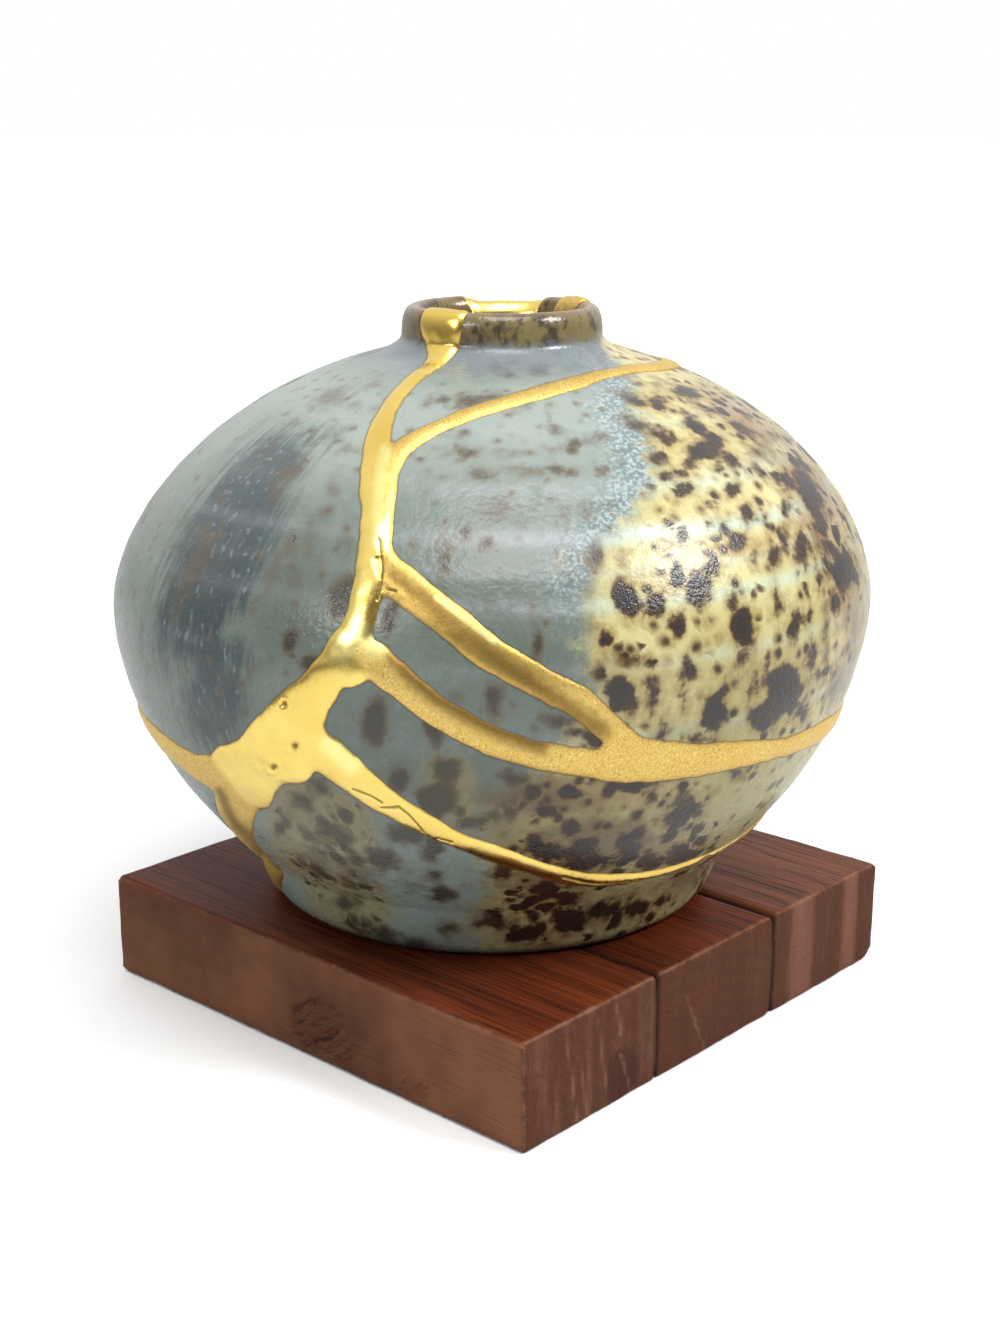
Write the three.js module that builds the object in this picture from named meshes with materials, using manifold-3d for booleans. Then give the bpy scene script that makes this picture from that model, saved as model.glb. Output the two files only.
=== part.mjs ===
// Kintsugi vase: a squat stoneware vase that broke into six pieces and was mended with raised gold seams. It
// stands on a square stand of three glued planks. Millimetres, +Z up, origin at the middle of the stand's
// underside, planks along Y. Places on the vase are a bearing in degrees round its axis, counted from its front
// to the viewer's right, and a rise, which is a share of the vase's height.
import * as THREE from 'three';
import { mergeVertices } from 'three/addons/utils/BufferGeometryUtils.js';
import Module from 'manifold-3d';

// Stand
const PLANK_LENGTH = 100;
const PLANK_WIDTH = 33.3;
const PLANK_THICKNESS = 19;
const PLANK_EDGE = 1.2;
const GROOVE_EDGE = 2;
const WORN_EDGE = 3;

// Vase
const VASE_HEIGHT = 104;
const BELLY_RADIUS = 66.4;
const BELLY_HEIGHT = 54;
const FOOT_RADIUS = 36.7;
const FOOT_EDGE = 2.8;
const FOOT_BAND_RADIUS = 44;
const FOOT_BAND_HEIGHT = 10.5;
const NECK_ROOT_RADIUS = 21;
const NECK_ROOT_DROP = 8;
const LIP_RADIUS = 17.3;
const LIP_DEPTH = 5;
const MOUTH_RADIUS = 13.2;
const WALL = 5;
const FLOOR = 6;
const FLOOR_EDGE = 3;
const RIM_DIP = 0.8;
const FRONT_BEARING = 222.2;
const FOOT_SHIFT = -1.75;
const NECK_SHIFT = 0.35;

// Gold seams
const SEAM_WIDTH = 5;
const SEAM_PROUD = 0.6;
const CLEARANCE = 0.3;

// Proportions that shape the curves
const BODY_ROUNDNESS = 1.8;
const LEAN_START = 0.385;
const LEAN_END = 0.923;
const RIM_DIP_BEARING = 177;
const RIM_DIP_SPREAD = 34;
const AROUND = 40;
const OUTER_ROWS = 11;
const INNER_ROWS = 6;
const EDGE_ROWS = 2;
const SEAM_STEP = 9.7;

// Each seam is a run of stations: bearing, rise, width as a share of SEAM_WIDTH.
const SEAMS = {
  mouth: [[-39, 1.04, 1.95], [-38, 0.99, 1.8], [-34.5, 0.95, 1.2], [-31.5, 0.905, 0.78], [-28, 0.857, 0.8],
    [-22.5, 0.81, 1]],
  shoulder: [[-22.5, 0.81, 0.9], [-15, 0.856, 0.7], [-5, 0.878, 0.7], [8, 0.893, 0.8], [24, 0.905, 0.78],
    [45, 0.912, 0.62], [72, 0.908, 0.7], [96, 0.898, 0.72], [118, 0.887, 0.8], [131, 0.918, 1],
    [120, 1.04, 1.5]],
  trunk: [[-22.5, 0.81, 1.2], [-19.5, 0.747, 1.02], [-17.7, 0.69, 1.08], [-17.6, 0.63, 1], [-18.8, 0.575, 1.35]],
  sliver_top: [[-17.5, 0.69, 1], [-11, 0.655, 1], [-5.9, 0.623, 1], [0, 0.577, 0.98], [6.4, 0.538, 0.9],
    [12, 0.5, 0.9], [19, 0.43, 0.85]],
  sliver_bottom: [[-18.8, 0.575, 1.2], [-11.7, 0.537, 0.98], [-5, 0.485, 0.96], [2, 0.443, 0.94], [9, 0.42, 0.94],
    [19, 0.408, 1.1]],
  equator_right: [[19, 0.412, 1.5], [30, 0.389, 1.24], [42, 0.374, 0.94], [50, 0.364, 0.82], [61, 0.354, 1.05],
    [72, 0.343, 1], [90, 0.34, 0.9], [120, 0.36, 0.8], [150, 0.385, 0.9], [172, 0.38, 1]],
  lower_trunk: [[-18.8, 0.565, 1.2], [-23.7, 0.503, 1.36], [-28, 0.44, 1.7], [-34, 0.375, 1.8], [-41, 0.325, 2.1]],
  lower_right: [[-28, 0.425, 1.4], [-19.8, 0.388, 1.3], [-15.2, 0.345, 1.1], [-9.7, 0.307, 0.9], [-2, 0.26, 0.72],
    [8, 0.212, 0.78], [22, 0.166, 0.8], [40, 0.157, 0.6], [60, 0.16, 0.5], [90, 0.185, 0.55], [120, 0.25, 0.6],
    [145, 0.335, 0.7], [152, 0.385, 0.8]],
  equator_left: [[-42, 0.325, 2.2], [-50, 0.319, 1.55], [-58, 0.324, 1.3], [-68, 0.334, 1.2], [-88, 0.33, 1.05],
    [-112, 0.335, 0.9], [-140, 0.36, 0.85], [-165, 0.375, 0.9], [-188, 0.38, 1]],
  foot: [[-43, 0.3, 2], [-48, 0.235, 1.65], [-55, 0.165, 1.4], [-66, 0.09, 1.3], [-76, 0.03, 1.2],
    [-79, -0.02, 1.2]],
  back: [[177, 1.04, 2.9], [177, 0.99, 2.7], [177, 0.94, 1.4], [174, 0.9, 0.9], [169, 0.83, 0.8], [164, 0.75, 0.85],
    [162, 0.65, 0.8], [165, 0.52, 0.9], [172, 0.38, 1]],
};

// Round patches of gold where seams meet: bearing, rise, radius as a share of SEAM_WIDTH.
const PATCHES = [[-22, 0.815, 0.75], [-17.5, 0.675, 0.7], [-19.5, 0.565, 0.85], [19, 0.42, 0.95], [-30, 0.4, 1.1],
  [-40, 0.33, 1.25], [172, 0.38, 0.8], [151, 0.38, 0.6]];
const PATCH_SIDES = 9;

// A place inside each broken piece, by which it gets its name: bearing, rise.
const PIECES = {
  shoulder_piece_left: [-70, 0.6],
  neck_piece: [10, 0.95],
  shoulder_piece_right: [60, 0.6],
  sliver_piece: [-8, 0.57],
  belly_piece: [20, 0.29],
  foot_piece: [0, 0.08],
};

const wasm = await Module();
wasm.setup();

const { clamp, degToRad, lerp, smoothstep } = THREE.MathUtils;

// Half heights of the two curves that meet at the belly, so that they pass through the neck's root and the foot
function reachThrough(radius, drop) {
  const share = 1 - (radius / BELLY_RADIUS) ** 2;
  return drop / share ** (1 / BODY_ROUNDNESS);
}

const NECK_ROOT_HEIGHT = VASE_HEIGHT - NECK_ROOT_DROP;
const REACH_ABOVE = reachThrough(NECK_ROOT_RADIUS, NECK_ROOT_HEIGHT - BELLY_HEIGHT);
const REACH_BELOW = reachThrough(FOOT_BAND_RADIUS, BELLY_HEIGHT - FOOT_BAND_HEIGHT);

function bodyRadius(height, inset = 0) {
  const reach = (height > BELLY_HEIGHT ? REACH_ABOVE : REACH_BELOW) - inset;
  const share = clamp(Math.abs(height - BELLY_HEIGHT) / reach, 0, 1);
  return (BELLY_RADIUS - inset) * Math.sqrt(1 - share ** BODY_ROUNDNESS);
}

function bodyHeight(radius, inset, side) {
  const reach = (side > 0 ? REACH_ABOVE : REACH_BELOW) - inset;
  const share = 1 - (radius / (BELLY_RADIUS - inset)) ** 2;
  return BELLY_HEIGHT + side * reach * share ** (1 / BODY_ROUNDNESS);
}

// The body's rows are even in angle round the belly, so they close up towards the foot and the neck.
function bodyRows(lowHeight, highHeight, rows, inset) {
  const low = Math.asin(clamp((lowHeight - BELLY_HEIGHT) / (REACH_BELOW - inset), -1, 1));
  const high = Math.asin(clamp((highHeight - BELLY_HEIGHT) / (REACH_ABOVE - inset), -1, 1));
  const points = [];
  for (let row = 0; row <= rows; row += 1) {
    const angle = lerp(low, high, row / rows);
    const reach = (angle > 0 ? REACH_ABOVE : REACH_BELOW) - inset;
    const height = BELLY_HEIGHT + reach * Math.sin(angle);
    points.push(new THREE.Vector2(bodyRadius(height, inset), height));
  }
  return points;
}

// Outside outline from the underside's rim up to the lip's crest
function outerOutline() {
  const outline = new THREE.Path();
  outline.moveTo(FOOT_RADIUS, 0);
  outline.quadraticCurveTo(FOOT_RADIUS + FOOT_EDGE, 0, FOOT_RADIUS + 1.4 * FOOT_EDGE, FOOT_EDGE);
  const foot = outline.getPoints(EDGE_ROWS);
  const body = bodyRows(FOOT_BAND_HEIGHT, NECK_ROOT_HEIGHT, OUTER_ROWS, 0);
  const lipHeight = VASE_HEIGHT - LIP_DEPTH;
  const neck = new THREE.Path();
  neck.moveTo(NECK_ROOT_RADIUS, NECK_ROOT_HEIGHT);
  neck.quadraticCurveTo(LIP_RADIUS, lerp(NECK_ROOT_HEIGHT, lipHeight, 0.6), LIP_RADIUS, lipHeight);
  const thickness = LIP_RADIUS - MOUTH_RADIUS;
  neck.quadraticCurveTo(LIP_RADIUS, VASE_HEIGHT, LIP_RADIUS - thickness / 2, VASE_HEIGHT);
  return [...foot, ...body, ...neck.getPoints(EDGE_ROWS).slice(1)];
}

// Inside outline from the lip's crest down to the middle of the floor
function innerOutline() {
  const thickness = LIP_RADIUS - MOUTH_RADIUS;
  const mouth = new THREE.Path();
  mouth.moveTo(LIP_RADIUS - thickness / 2, VASE_HEIGHT);
  mouth.quadraticCurveTo(MOUTH_RADIUS, VASE_HEIGHT, MOUTH_RADIUS, VASE_HEIGHT - thickness);
  const shoulderHeight = bodyHeight(MOUTH_RADIUS, WALL, 1);
  const body = bodyRows(FLOOR + FLOOR_EDGE, shoulderHeight, INNER_ROWS, WALL).reverse();
  const last = body[body.length - 1];
  const floor = new THREE.Path();
  floor.moveTo(last.x, last.y);
  floor.quadraticCurveTo(last.x - FLOOR_EDGE / 2, FLOOR, last.x - 2 * FLOOR_EDGE, FLOOR);
  return [...mouth.getPoints(EDGE_ROWS).slice(1), ...body, ...floor.getPoints(EDGE_ROWS).slice(1)];
}

const OUTER = outerOutline();
const INNER = innerOutline();

// Sideways shift of the vase's axis at a height, because it was thrown by hand and leans a little
function leanAt(height) {
  const share = smoothstep(height / VASE_HEIGHT, LEAN_START, LEAN_END);
  return lerp(FOOT_SHIFT, NECK_SHIFT, share);
}

// Sag of the rim at the back, where the gold fill sits lower than the clay beside it
function dipAt(bearing, height) {
  const turn = ((bearing - RIM_DIP_BEARING + 540) % 360) - 180;
  const near = 1 - smoothstep(Math.abs(turn), RIM_DIP_SPREAD / 2, RIM_DIP_SPREAD);
  return RIM_DIP * near * smoothstep(height, VASE_HEIGHT - LIP_DEPTH, VASE_HEIGHT);
}

// A place on the vase, from bearing, radius and height above the stand, in the part's own frame
function place(bearing, radius, height) {
  const angle = degToRad(FRONT_BEARING + bearing);
  const side = degToRad(FRONT_BEARING + 90);
  const lean = leanAt(height);
  return new THREE.Vector3(
    radius * Math.cos(angle) + lean * Math.cos(side),
    radius * Math.sin(angle) + lean * Math.sin(side),
    PLANK_THICKNESS + height - dipAt(bearing, height),
  );
}

// Place and outward direction on the outside at a bearing and height, running straight on past lip and foot
function outside(bearing, height) {
  const at = (wanted) => {
    const above = OUTER.findIndex((point) => point.y > wanted);
    if (above < 0 || wanted > VASE_HEIGHT - LIP_DEPTH) return LIP_RADIUS;
    if (above === 0 || wanted < FOOT_EDGE) return FOOT_RADIUS + FOOT_EDGE;
    const low = OUTER[above - 1];
    const high = OUTER[above];
    return lerp(low.x, high.x, (wanted - low.y) / (high.y - low.y));
  };
  const span = VASE_HEIGHT / 50;
  const slope = (at(height + span) - at(height - span)) / (2 * span);
  const angle = degToRad(FRONT_BEARING + bearing);
  const normal = new THREE.Vector3(Math.cos(angle), Math.sin(angle), -slope).normalize();
  return { point: place(bearing, at(height), height), normal };
}

// Closed solid from a three.js geometry
function solid(geometry) {
  const bare = new THREE.BufferGeometry();
  bare.setAttribute('position', geometry.getAttribute('position').clone());
  bare.setIndex(geometry.getIndex());
  const merged = mergeVertices(bare, 1e-4);
  const index = [];
  for (let i = 0; i < merged.index.count; i += 3) {
    const corners = [0, 1, 2].map((k) => merged.index.getX(i + k));
    if (new Set(corners).size === 3) index.push(...corners);
  }
  const mesh = new wasm.Mesh({
    numProp: 3,
    vertProperties: new Float32Array(merged.attributes.position.array),
    triVerts: new Uint32Array(index),
  });
  mesh.merge();
  return new wasm.Manifold(mesh);
}

function named(name, body, material) {
  const { vertProperties, triVerts } = body.getMesh();
  const geometry = new THREE.BufferGeometry();
  geometry.setAttribute('position', new THREE.BufferAttribute(new Float32Array(vertProperties), 3));
  geometry.setIndex(new THREE.BufferAttribute(new Uint32Array(triVerts), 1));
  geometry.computeVertexNormals();
  const mesh = new THREE.Mesh(geometry, material);
  mesh.name = name;
  return mesh;
}

// Turned body of the vase, its outside and lip standing proud by an amount and its underside raised by a lift
function turnedBody(proud, lift) {
  const outer = OUTER.map((point, i) => {
    const before = OUTER[Math.max(i - 1, 0)];
    const after = OUTER[Math.min(i + 1, OUTER.length - 1)];
    const normal = new THREE.Vector2(after.y - before.y, before.x - after.x).normalize();
    const moved = point.clone().addScaledVector(normal, proud);
    moved.y = Math.max(moved.y, lift);
    return moved;
  });
  const middle = [new THREE.Vector2(0, lift)];
  const floorMiddle = [new THREE.Vector2(0, FLOOR)];
  const lathe = new THREE.LatheGeometry([...middle, ...outer, ...INNER, ...floorMiddle], AROUND);
  const position = lathe.getAttribute('position');
  for (let i = 0; i < position.count; i += 1) {
    const radius = Math.hypot(position.getX(i), position.getZ(i));
    const bearing = THREE.MathUtils.radToDeg(Math.atan2(position.getX(i), position.getZ(i)));
    const moved = place(bearing, radius, position.getY(i));
    position.setXYZ(i, moved.x, moved.y, moved.z);
  }
  return solid(lathe);
}

// Block along a seam that reaches through the wall, with an extra margin at each side
function seamBlock(stations, margin) {
  const curve = new THREE.CatmullRomCurve3(stations.map(([bearing, rise, width]) => (
    new THREE.Vector3(bearing, rise * VASE_HEIGHT, width * SEAM_WIDTH)
  )));
  const onWall = (t) => {
    const station = curve.getPoint(clamp(t, 0, 1));
    return { ...outside(station.x, station.y), width: station.z };
  };
  const places = stations.map(([bearing, rise]) => outside(bearing, rise * VASE_HEIGHT).point);
  const length = places.slice(1).reduce((sum, point, i) => sum + point.distanceTo(places[i]), 0);
  const steps = Math.ceil(length / SEAM_STEP);
  const box = new THREE.BoxGeometry(1, 1, 1, steps, 1, 1);
  const position = box.getAttribute('position');
  const reach = 0.5 / steps;
  for (let i = 0; i < position.count; i += 1) {
    const t = position.getX(i) + 0.5;
    const { point, normal, width } = onWall(t);
    const along = onWall(t + reach).point.sub(onWall(t - reach).point).normalize();
    const across = normal.clone().cross(along).normalize();
    const depth = position.getZ(i) > 0 ? 2 * SEAM_PROUD : -2 * WALL;
    const moved = point.clone()
      .addScaledVector(across, position.getY(i) * (width + 2 * margin))
      .addScaledVector(normal, depth);
    position.setXYZ(i, moved.x, moved.y, moved.z);
  }
  return solid(box);
}

// Round plug through the wall where seams meet
function patchPlug([bearing, rise, share], margin) {
  const { point, normal } = outside(bearing, rise * VASE_HEIGHT);
  const radius = share * SEAM_WIDTH + margin;
  const plug = new THREE.CylinderGeometry(radius, radius, 3 * WALL, PATCH_SIDES);
  plug.translate(0, -WALL / 2, 0);
  plug.applyQuaternion(new THREE.Quaternion().setFromUnitVectors(new THREE.Vector3(0, 1, 0), normal));
  plug.translate(point.x, point.y, point.z);
  return solid(plug);
}

function seamNetwork(margin) {
  const blocks = Object.values(SEAMS).map((stations) => seamBlock(stations, margin));
  const plugs = PATCHES.map((patch) => patchPlug(patch, margin));
  return [...blocks, ...plugs].reduce((whole, next) => whole.add(next));
}

// Vase: the broken pieces, each named by the place inside it, and the gold between them
function vase() {
  const glaze = new THREE.MeshStandardMaterial({ color: 0x7f9196, roughness: 0.35 });
  const gold = new THREE.MeshStandardMaterial({ color: 0xd2a23c, roughness: 0.3, metalness: 1 });
  const broken = turnedBody(0, 0).subtract(seamNetwork(CLEARANCE)).decompose();
  const distance = (piece, target) => {
    const { vertProperties } = piece.getMesh();
    let nearest = Infinity;
    for (let i = 0; i < vertProperties.length; i += 3) {
      const corner = new THREE.Vector3().fromArray(vertProperties, i);
      nearest = Math.min(nearest, corner.distanceTo(target));
    }
    return nearest;
  };
  const group = new THREE.Group();
  for (const [name, [bearing, rise]] of Object.entries(PIECES)) {
    const target = outside(bearing, rise * VASE_HEIGHT).point;
    const piece = broken.reduce((best, next) => (distance(next, target) < distance(best, target) ? next : best));
    group.add(named(name, piece, glaze));
  }
  const seams = turnedBody(SEAM_PROUD, CLEARANCE).intersect(seamNetwork(0));
  group.add(named('gold_seams', seams, gold));
  return group;
}

// Plank with its own eased long edges: upper left, upper right, lower right, lower left
function plank(name, middle, [upperLeft, upperRight, lowerRight, lowerLeft], material) {
  const half = PLANK_WIDTH / 2;
  const outline = new THREE.Shape();
  outline.moveTo(-half + lowerLeft, 0);
  outline.lineTo(half - lowerRight, 0);
  outline.quadraticCurveTo(half, 0, half, lowerRight);
  outline.lineTo(half, PLANK_THICKNESS - upperRight);
  outline.quadraticCurveTo(half, PLANK_THICKNESS, half - upperRight, PLANK_THICKNESS);
  outline.lineTo(-half + upperLeft, PLANK_THICKNESS);
  outline.quadraticCurveTo(-half, PLANK_THICKNESS, -half, PLANK_THICKNESS - upperLeft);
  outline.lineTo(-half, lowerLeft);
  outline.quadraticCurveTo(-half, 0, -half + lowerLeft, 0);
  const shape = new THREE.ExtrudeGeometry(outline, {
    depth: PLANK_LENGTH,
    bevelEnabled: false,
    curveSegments: 3,
    steps: 1,
  });
  shape.rotateX(Math.PI / 2);
  shape.translate(0, PLANK_LENGTH / 2, 0);
  const mesh = new THREE.Mesh(shape, material);
  mesh.name = name;
  mesh.position.x = middle;
  return mesh;
}

function stand() {
  const wood = new THREE.MeshStandardMaterial({ color: 0x6b3f2b, roughness: 0.6 });
  const group = new THREE.Group();
  group.add(plank('plank_left', -PLANK_WIDTH, [PLANK_EDGE, PLANK_EDGE, PLANK_EDGE, PLANK_EDGE], wood));
  group.add(plank('plank_middle', 0, [PLANK_EDGE, GROOVE_EDGE, GROOVE_EDGE, PLANK_EDGE], wood));
  group.add(plank('plank_right', PLANK_WIDTH, [GROOVE_EDGE, PLANK_EDGE, WORN_EDGE, PLANK_EDGE], wood));
  return group;
}

const group = new THREE.Group();
group.add(stand());
group.add(vase());

export default group;
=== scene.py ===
import math

import bmesh
import bpy
import numpy as np
from mathutils import Euler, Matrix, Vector, noise


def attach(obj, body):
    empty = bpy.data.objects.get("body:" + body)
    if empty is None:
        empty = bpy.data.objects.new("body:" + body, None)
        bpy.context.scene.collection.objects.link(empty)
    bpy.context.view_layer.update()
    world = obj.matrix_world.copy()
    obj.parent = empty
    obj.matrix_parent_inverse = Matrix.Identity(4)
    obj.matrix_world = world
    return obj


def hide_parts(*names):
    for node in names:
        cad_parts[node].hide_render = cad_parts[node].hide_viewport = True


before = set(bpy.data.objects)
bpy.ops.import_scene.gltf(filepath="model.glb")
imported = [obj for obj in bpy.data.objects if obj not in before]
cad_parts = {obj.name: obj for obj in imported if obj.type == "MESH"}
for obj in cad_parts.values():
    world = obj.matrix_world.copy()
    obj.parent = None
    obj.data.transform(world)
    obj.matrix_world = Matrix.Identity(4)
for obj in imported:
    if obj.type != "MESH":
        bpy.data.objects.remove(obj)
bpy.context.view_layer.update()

# Studio camera
# It stands before the vase's front, a little above the lip, as for a product photograph.
# Its place, tilt and lens come from the straight edges of the stand.
CAMERA_AT = (-0.2543, -0.2307, 0.1583)
CAMERA_TILT = 0.2835
CAMERA_TURN = -0.834
PHOTO_WIDTH = 1000
PHOTO_HEIGHT = 1333
FOCAL_PIXELS = 1981
SENSOR = 36.0
scene = bpy.context.scene
camera = bpy.data.objects.new("studio_camera", bpy.data.cameras.new("studio_camera"))
scene.collection.objects.link(camera)
camera.location = CAMERA_AT
camera.rotation_euler = (math.pi / 2 - CAMERA_TILT, 0, CAMERA_TURN)
camera.data.sensor_width = SENSOR
camera.data.lens = FOCAL_PIXELS / PHOTO_HEIGHT * SENSOR
camera.data.clip_start = 0.01
camera.data.clip_end = 20
scene.camera = camera


def photo_pixels(points):
    """Column and row on the photograph of points in metres."""
    axes = np.array(Euler((math.pi / 2 - CAMERA_TILT, 0, CAMERA_TURN)).to_matrix())
    local = (points - np.array(CAMERA_AT)) @ axes
    column = PHOTO_WIDTH / 2 - FOCAL_PIXELS * local[:, 0] / local[:, 2]
    row = PHOTO_HEIGHT / 2 + FOCAL_PIXELS * local[:, 1] / local[:, 2]
    return column, row


# Stand of three planks
# Three oiled hardwood boards lie side by side and are glued, with their grain one way. Each was
# planed to 19 mm and has its long edges eased by hand; the right one is worn at its lower edge.
MM = 0.001
PLANK_LENGTH = 100.0
PLANK_WIDTH = 33.3
PLANK_THICKNESS = 19.0
END_EDGE = 0.5
PLANK_CELL = 1.2
EDGE_WEAR = 0.12
WEAR_REACH = 2.5
FACE_WAVES = 0.05
EDGE_SEGMENTS = 5
END_SEGMENTS = 3
HALF_STAND = 1.5 * PLANK_WIDTH
ROUNDED_CORNERS = (
    (-HALF_STAND, PLANK_LENGTH / 2, 2.4),
    (-HALF_STAND, -PLANK_LENGTH / 2, 0.6),
    (HALF_STAND, -PLANK_LENGTH / 2, 1.8),
    (HALF_STAND, PLANK_LENGTH / 2, 1.2),
)
PLANKS = {
    "left": {
        "middle": -PLANK_WIDTH,
        "edges": (1.2, 1.2, 1.2, 1.2),
        "heart": (-0.062, -0.030),
        "seed": 1.0,
    },
    "middle": {
        "middle": 0.0,
        "edges": (1.2, 2.0, 2.0, 1.2),
        "heart": (-0.012, -0.045),
        "seed": 2.0,
    },
    "right": {
        "middle": PLANK_WIDTH,
        "edges": (2.0, 1.2, 3.0, 1.2),
        "heart": (0.052, -0.028),
        "seed": 3.0,
    },
}


def linear(red, green, blue):
    """Colour for a shader from the 0 to 255 values that a screen shows."""
    parts = [part / 255 for part in (red, green, blue)]
    bent = [part / 12.92 if part <= 0.04045 else ((part + 0.055) / 1.055) ** 2.4 for part in parts]
    return (*bent, 1.0)


class Value:
    """A socket in a material. Arithmetic on it adds Math nodes."""

    def __init__(self, paint, socket):
        self.paint = paint
        self.socket = socket

    def math(self, operation, *others):
        inputs = {place: other for place, other in enumerate((self, *others))}
        return self.paint.node("ShaderNodeMath", {"operation": operation}, inputs)

    def __add__(self, other):
        return self.math("ADD", other)

    __radd__ = __add__

    def __mul__(self, other):
        return self.math("MULTIPLY", other)

    __rmul__ = __mul__

    def __sub__(self, other):
        return self.math("SUBTRACT", other)

    def __rsub__(self, other):
        return self * -1 + other

    def __truediv__(self, other):
        return self.math("DIVIDE", other)

    def __neg__(self):
        return self * -1


class Paint:
    """A material and its nodes."""

    def __init__(self, name):
        self.material = bpy.data.materials.new(name)
        self.material.use_nodes = True
        self.tree = self.material.node_tree
        self.shader = self.tree.nodes["Principled BSDF"]
        self.place = self.node("ShaderNodeTexCoord", output="Object")

    def node(self, kind, settings=None, inputs=None, output=0):
        """Value of a new node, its settings made first, then its sockets filled or linked."""
        made = self.tree.nodes.new(kind)
        for name, setting in (settings or {}).items():
            setattr(made, name, setting)
        for name, given in (inputs or {}).items():
            self.fill(made.inputs[name], given)
        return Value(self, made.outputs[output])

    def fill(self, socket, given):
        if isinstance(given, Value):
            self.tree.links.new(given.socket, socket)
        else:
            socket.default_value = given

    def surface(self, **sockets):
        """Fills sockets of the surface shader, whose names are given with underscores."""
        for name, given in sockets.items():
            self.fill(self.shader.inputs[name.replace("_", " ")], given)

    def attribute(self, name):
        return self.node("ShaderNodeAttribute", {"attribute_name": name}, output="Fac")

    def moved(self, scale, shift=(0.0, 0.0, 0.0), place=None):
        """Object coordinates, or others, stretched by a scale on each axis and shifted."""
        inputs = {"Vector": place or self.place, "Scale": scale, "Location": shift}
        return self.node("ShaderNodeMapping", {}, inputs)

    def clouds(self, scale, detail=3.0, rough=0.5, place=None, bend=0.0):
        """Noise about zero, near minus one to plus one, whose lumps are 1 / scale across."""
        inputs = {
            "Vector": place or self.place,
            "Scale": scale,
            "Detail": detail,
            "Roughness": rough,
            "Distortion": bend,
        }
        return self.node("ShaderNodeTexNoise", {}, inputs, "Fac") * 4 - 2

    def pushed(self, distance, scale, place=None):
        """Object coordinates, or others, moved about by up to half a distance in metres."""
        place = place or self.place
        inputs = {"Vector": place, "Scale": scale, "Detail": 2.0}
        lumps = self.node("ShaderNodeTexNoise", {}, inputs, "Color")
        centred = self.vector("SUBTRACT", lumps, (0.5, 0.5, 0.5))
        push = self.node("ShaderNodeVectorMath", {"operation": "SCALE"}, {0: centred, "Scale": distance})
        return self.vector("ADD", place, push)

    def drops(self, spacing, least, most, place=None):
        """How far inside scattered round drops a place is, in millimetres. Drops are a spacing apart and
        their radius is between the least and the most; a drop of less than nothing is left out."""
        inputs = {"Vector": place or self.place, "Scale": 1000 / spacing}
        apart = self.node("ShaderNodeTexVoronoi", {"feature": "F1"}, inputs, "Distance")
        chance = Value(self, apart.socket.node.outputs["Color"])
        return self.step(chance, 0.15, 0.85) * (most - least) + least - apart * spacing

    def step(self, value, low, high):
        """Smooth rise from 0 at low to 1 at high."""
        settings = {"interpolation_type": "SMOOTHSTEP"}
        return self.node("ShaderNodeMapRange", settings, {"Value": value, "From Min": low, "From Max": high})

    def mix(self, share, *shades):
        """Second colour over the first by a share. Three numbers are a colour as a screen shows it."""
        first, second = (linear(*shade) if np.shape(shade) == (3,) else shade for shade in shades)
        return self.node("ShaderNodeMix", {"data_type": "RGBA"}, {"Factor": share, 6: first, 7: second}, 2)

    def bump(self, height, distance):
        """Fine relief for the Normal socket, from a height between 0 and 1 that stands for a distance."""
        return self.node("ShaderNodeBump", {}, {"Height": height, "Distance": distance, "Strength": 1.0})

    def vector(self, operation, *given, output=0):
        """Vector Math on places or directions."""
        return self.node("ShaderNodeVectorMath", {"operation": operation}, dict(enumerate(given)), output)


def attributes_on(piece, marks):
    """Numbers at each vertex that a material can read, by their names."""
    for name, values in marks.items():
        layer = piece.data.attributes.new(name, "FLOAT", "POINT")
        layer.data.foreach_set("value", np.asarray(values, np.float32))


def piece_from(bm, name):
    """Finished piece from a bmesh, with its object at the origin."""
    mesh = bpy.data.meshes.new(name)
    bm.to_mesh(mesh)
    bm.free()
    piece = bpy.data.objects.new(name, mesh)
    scene.collection.objects.link(piece)
    return piece


def smooth(value, low, high):
    """Smooth rise from 0 at low to 1 at high, for arrays."""
    share = np.clip((value - low) / (high - low), 0, 1)
    return share * share * (3 - 2 * share)


def ease(bm, edges, width, segments):
    """Rounds edges to a width in millimetres."""
    bmesh.ops.bevel(
        bm, geom=edges, offset=width * MM, segments=segments, profile=0.5, affect="EDGES", material=-1
    )


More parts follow.
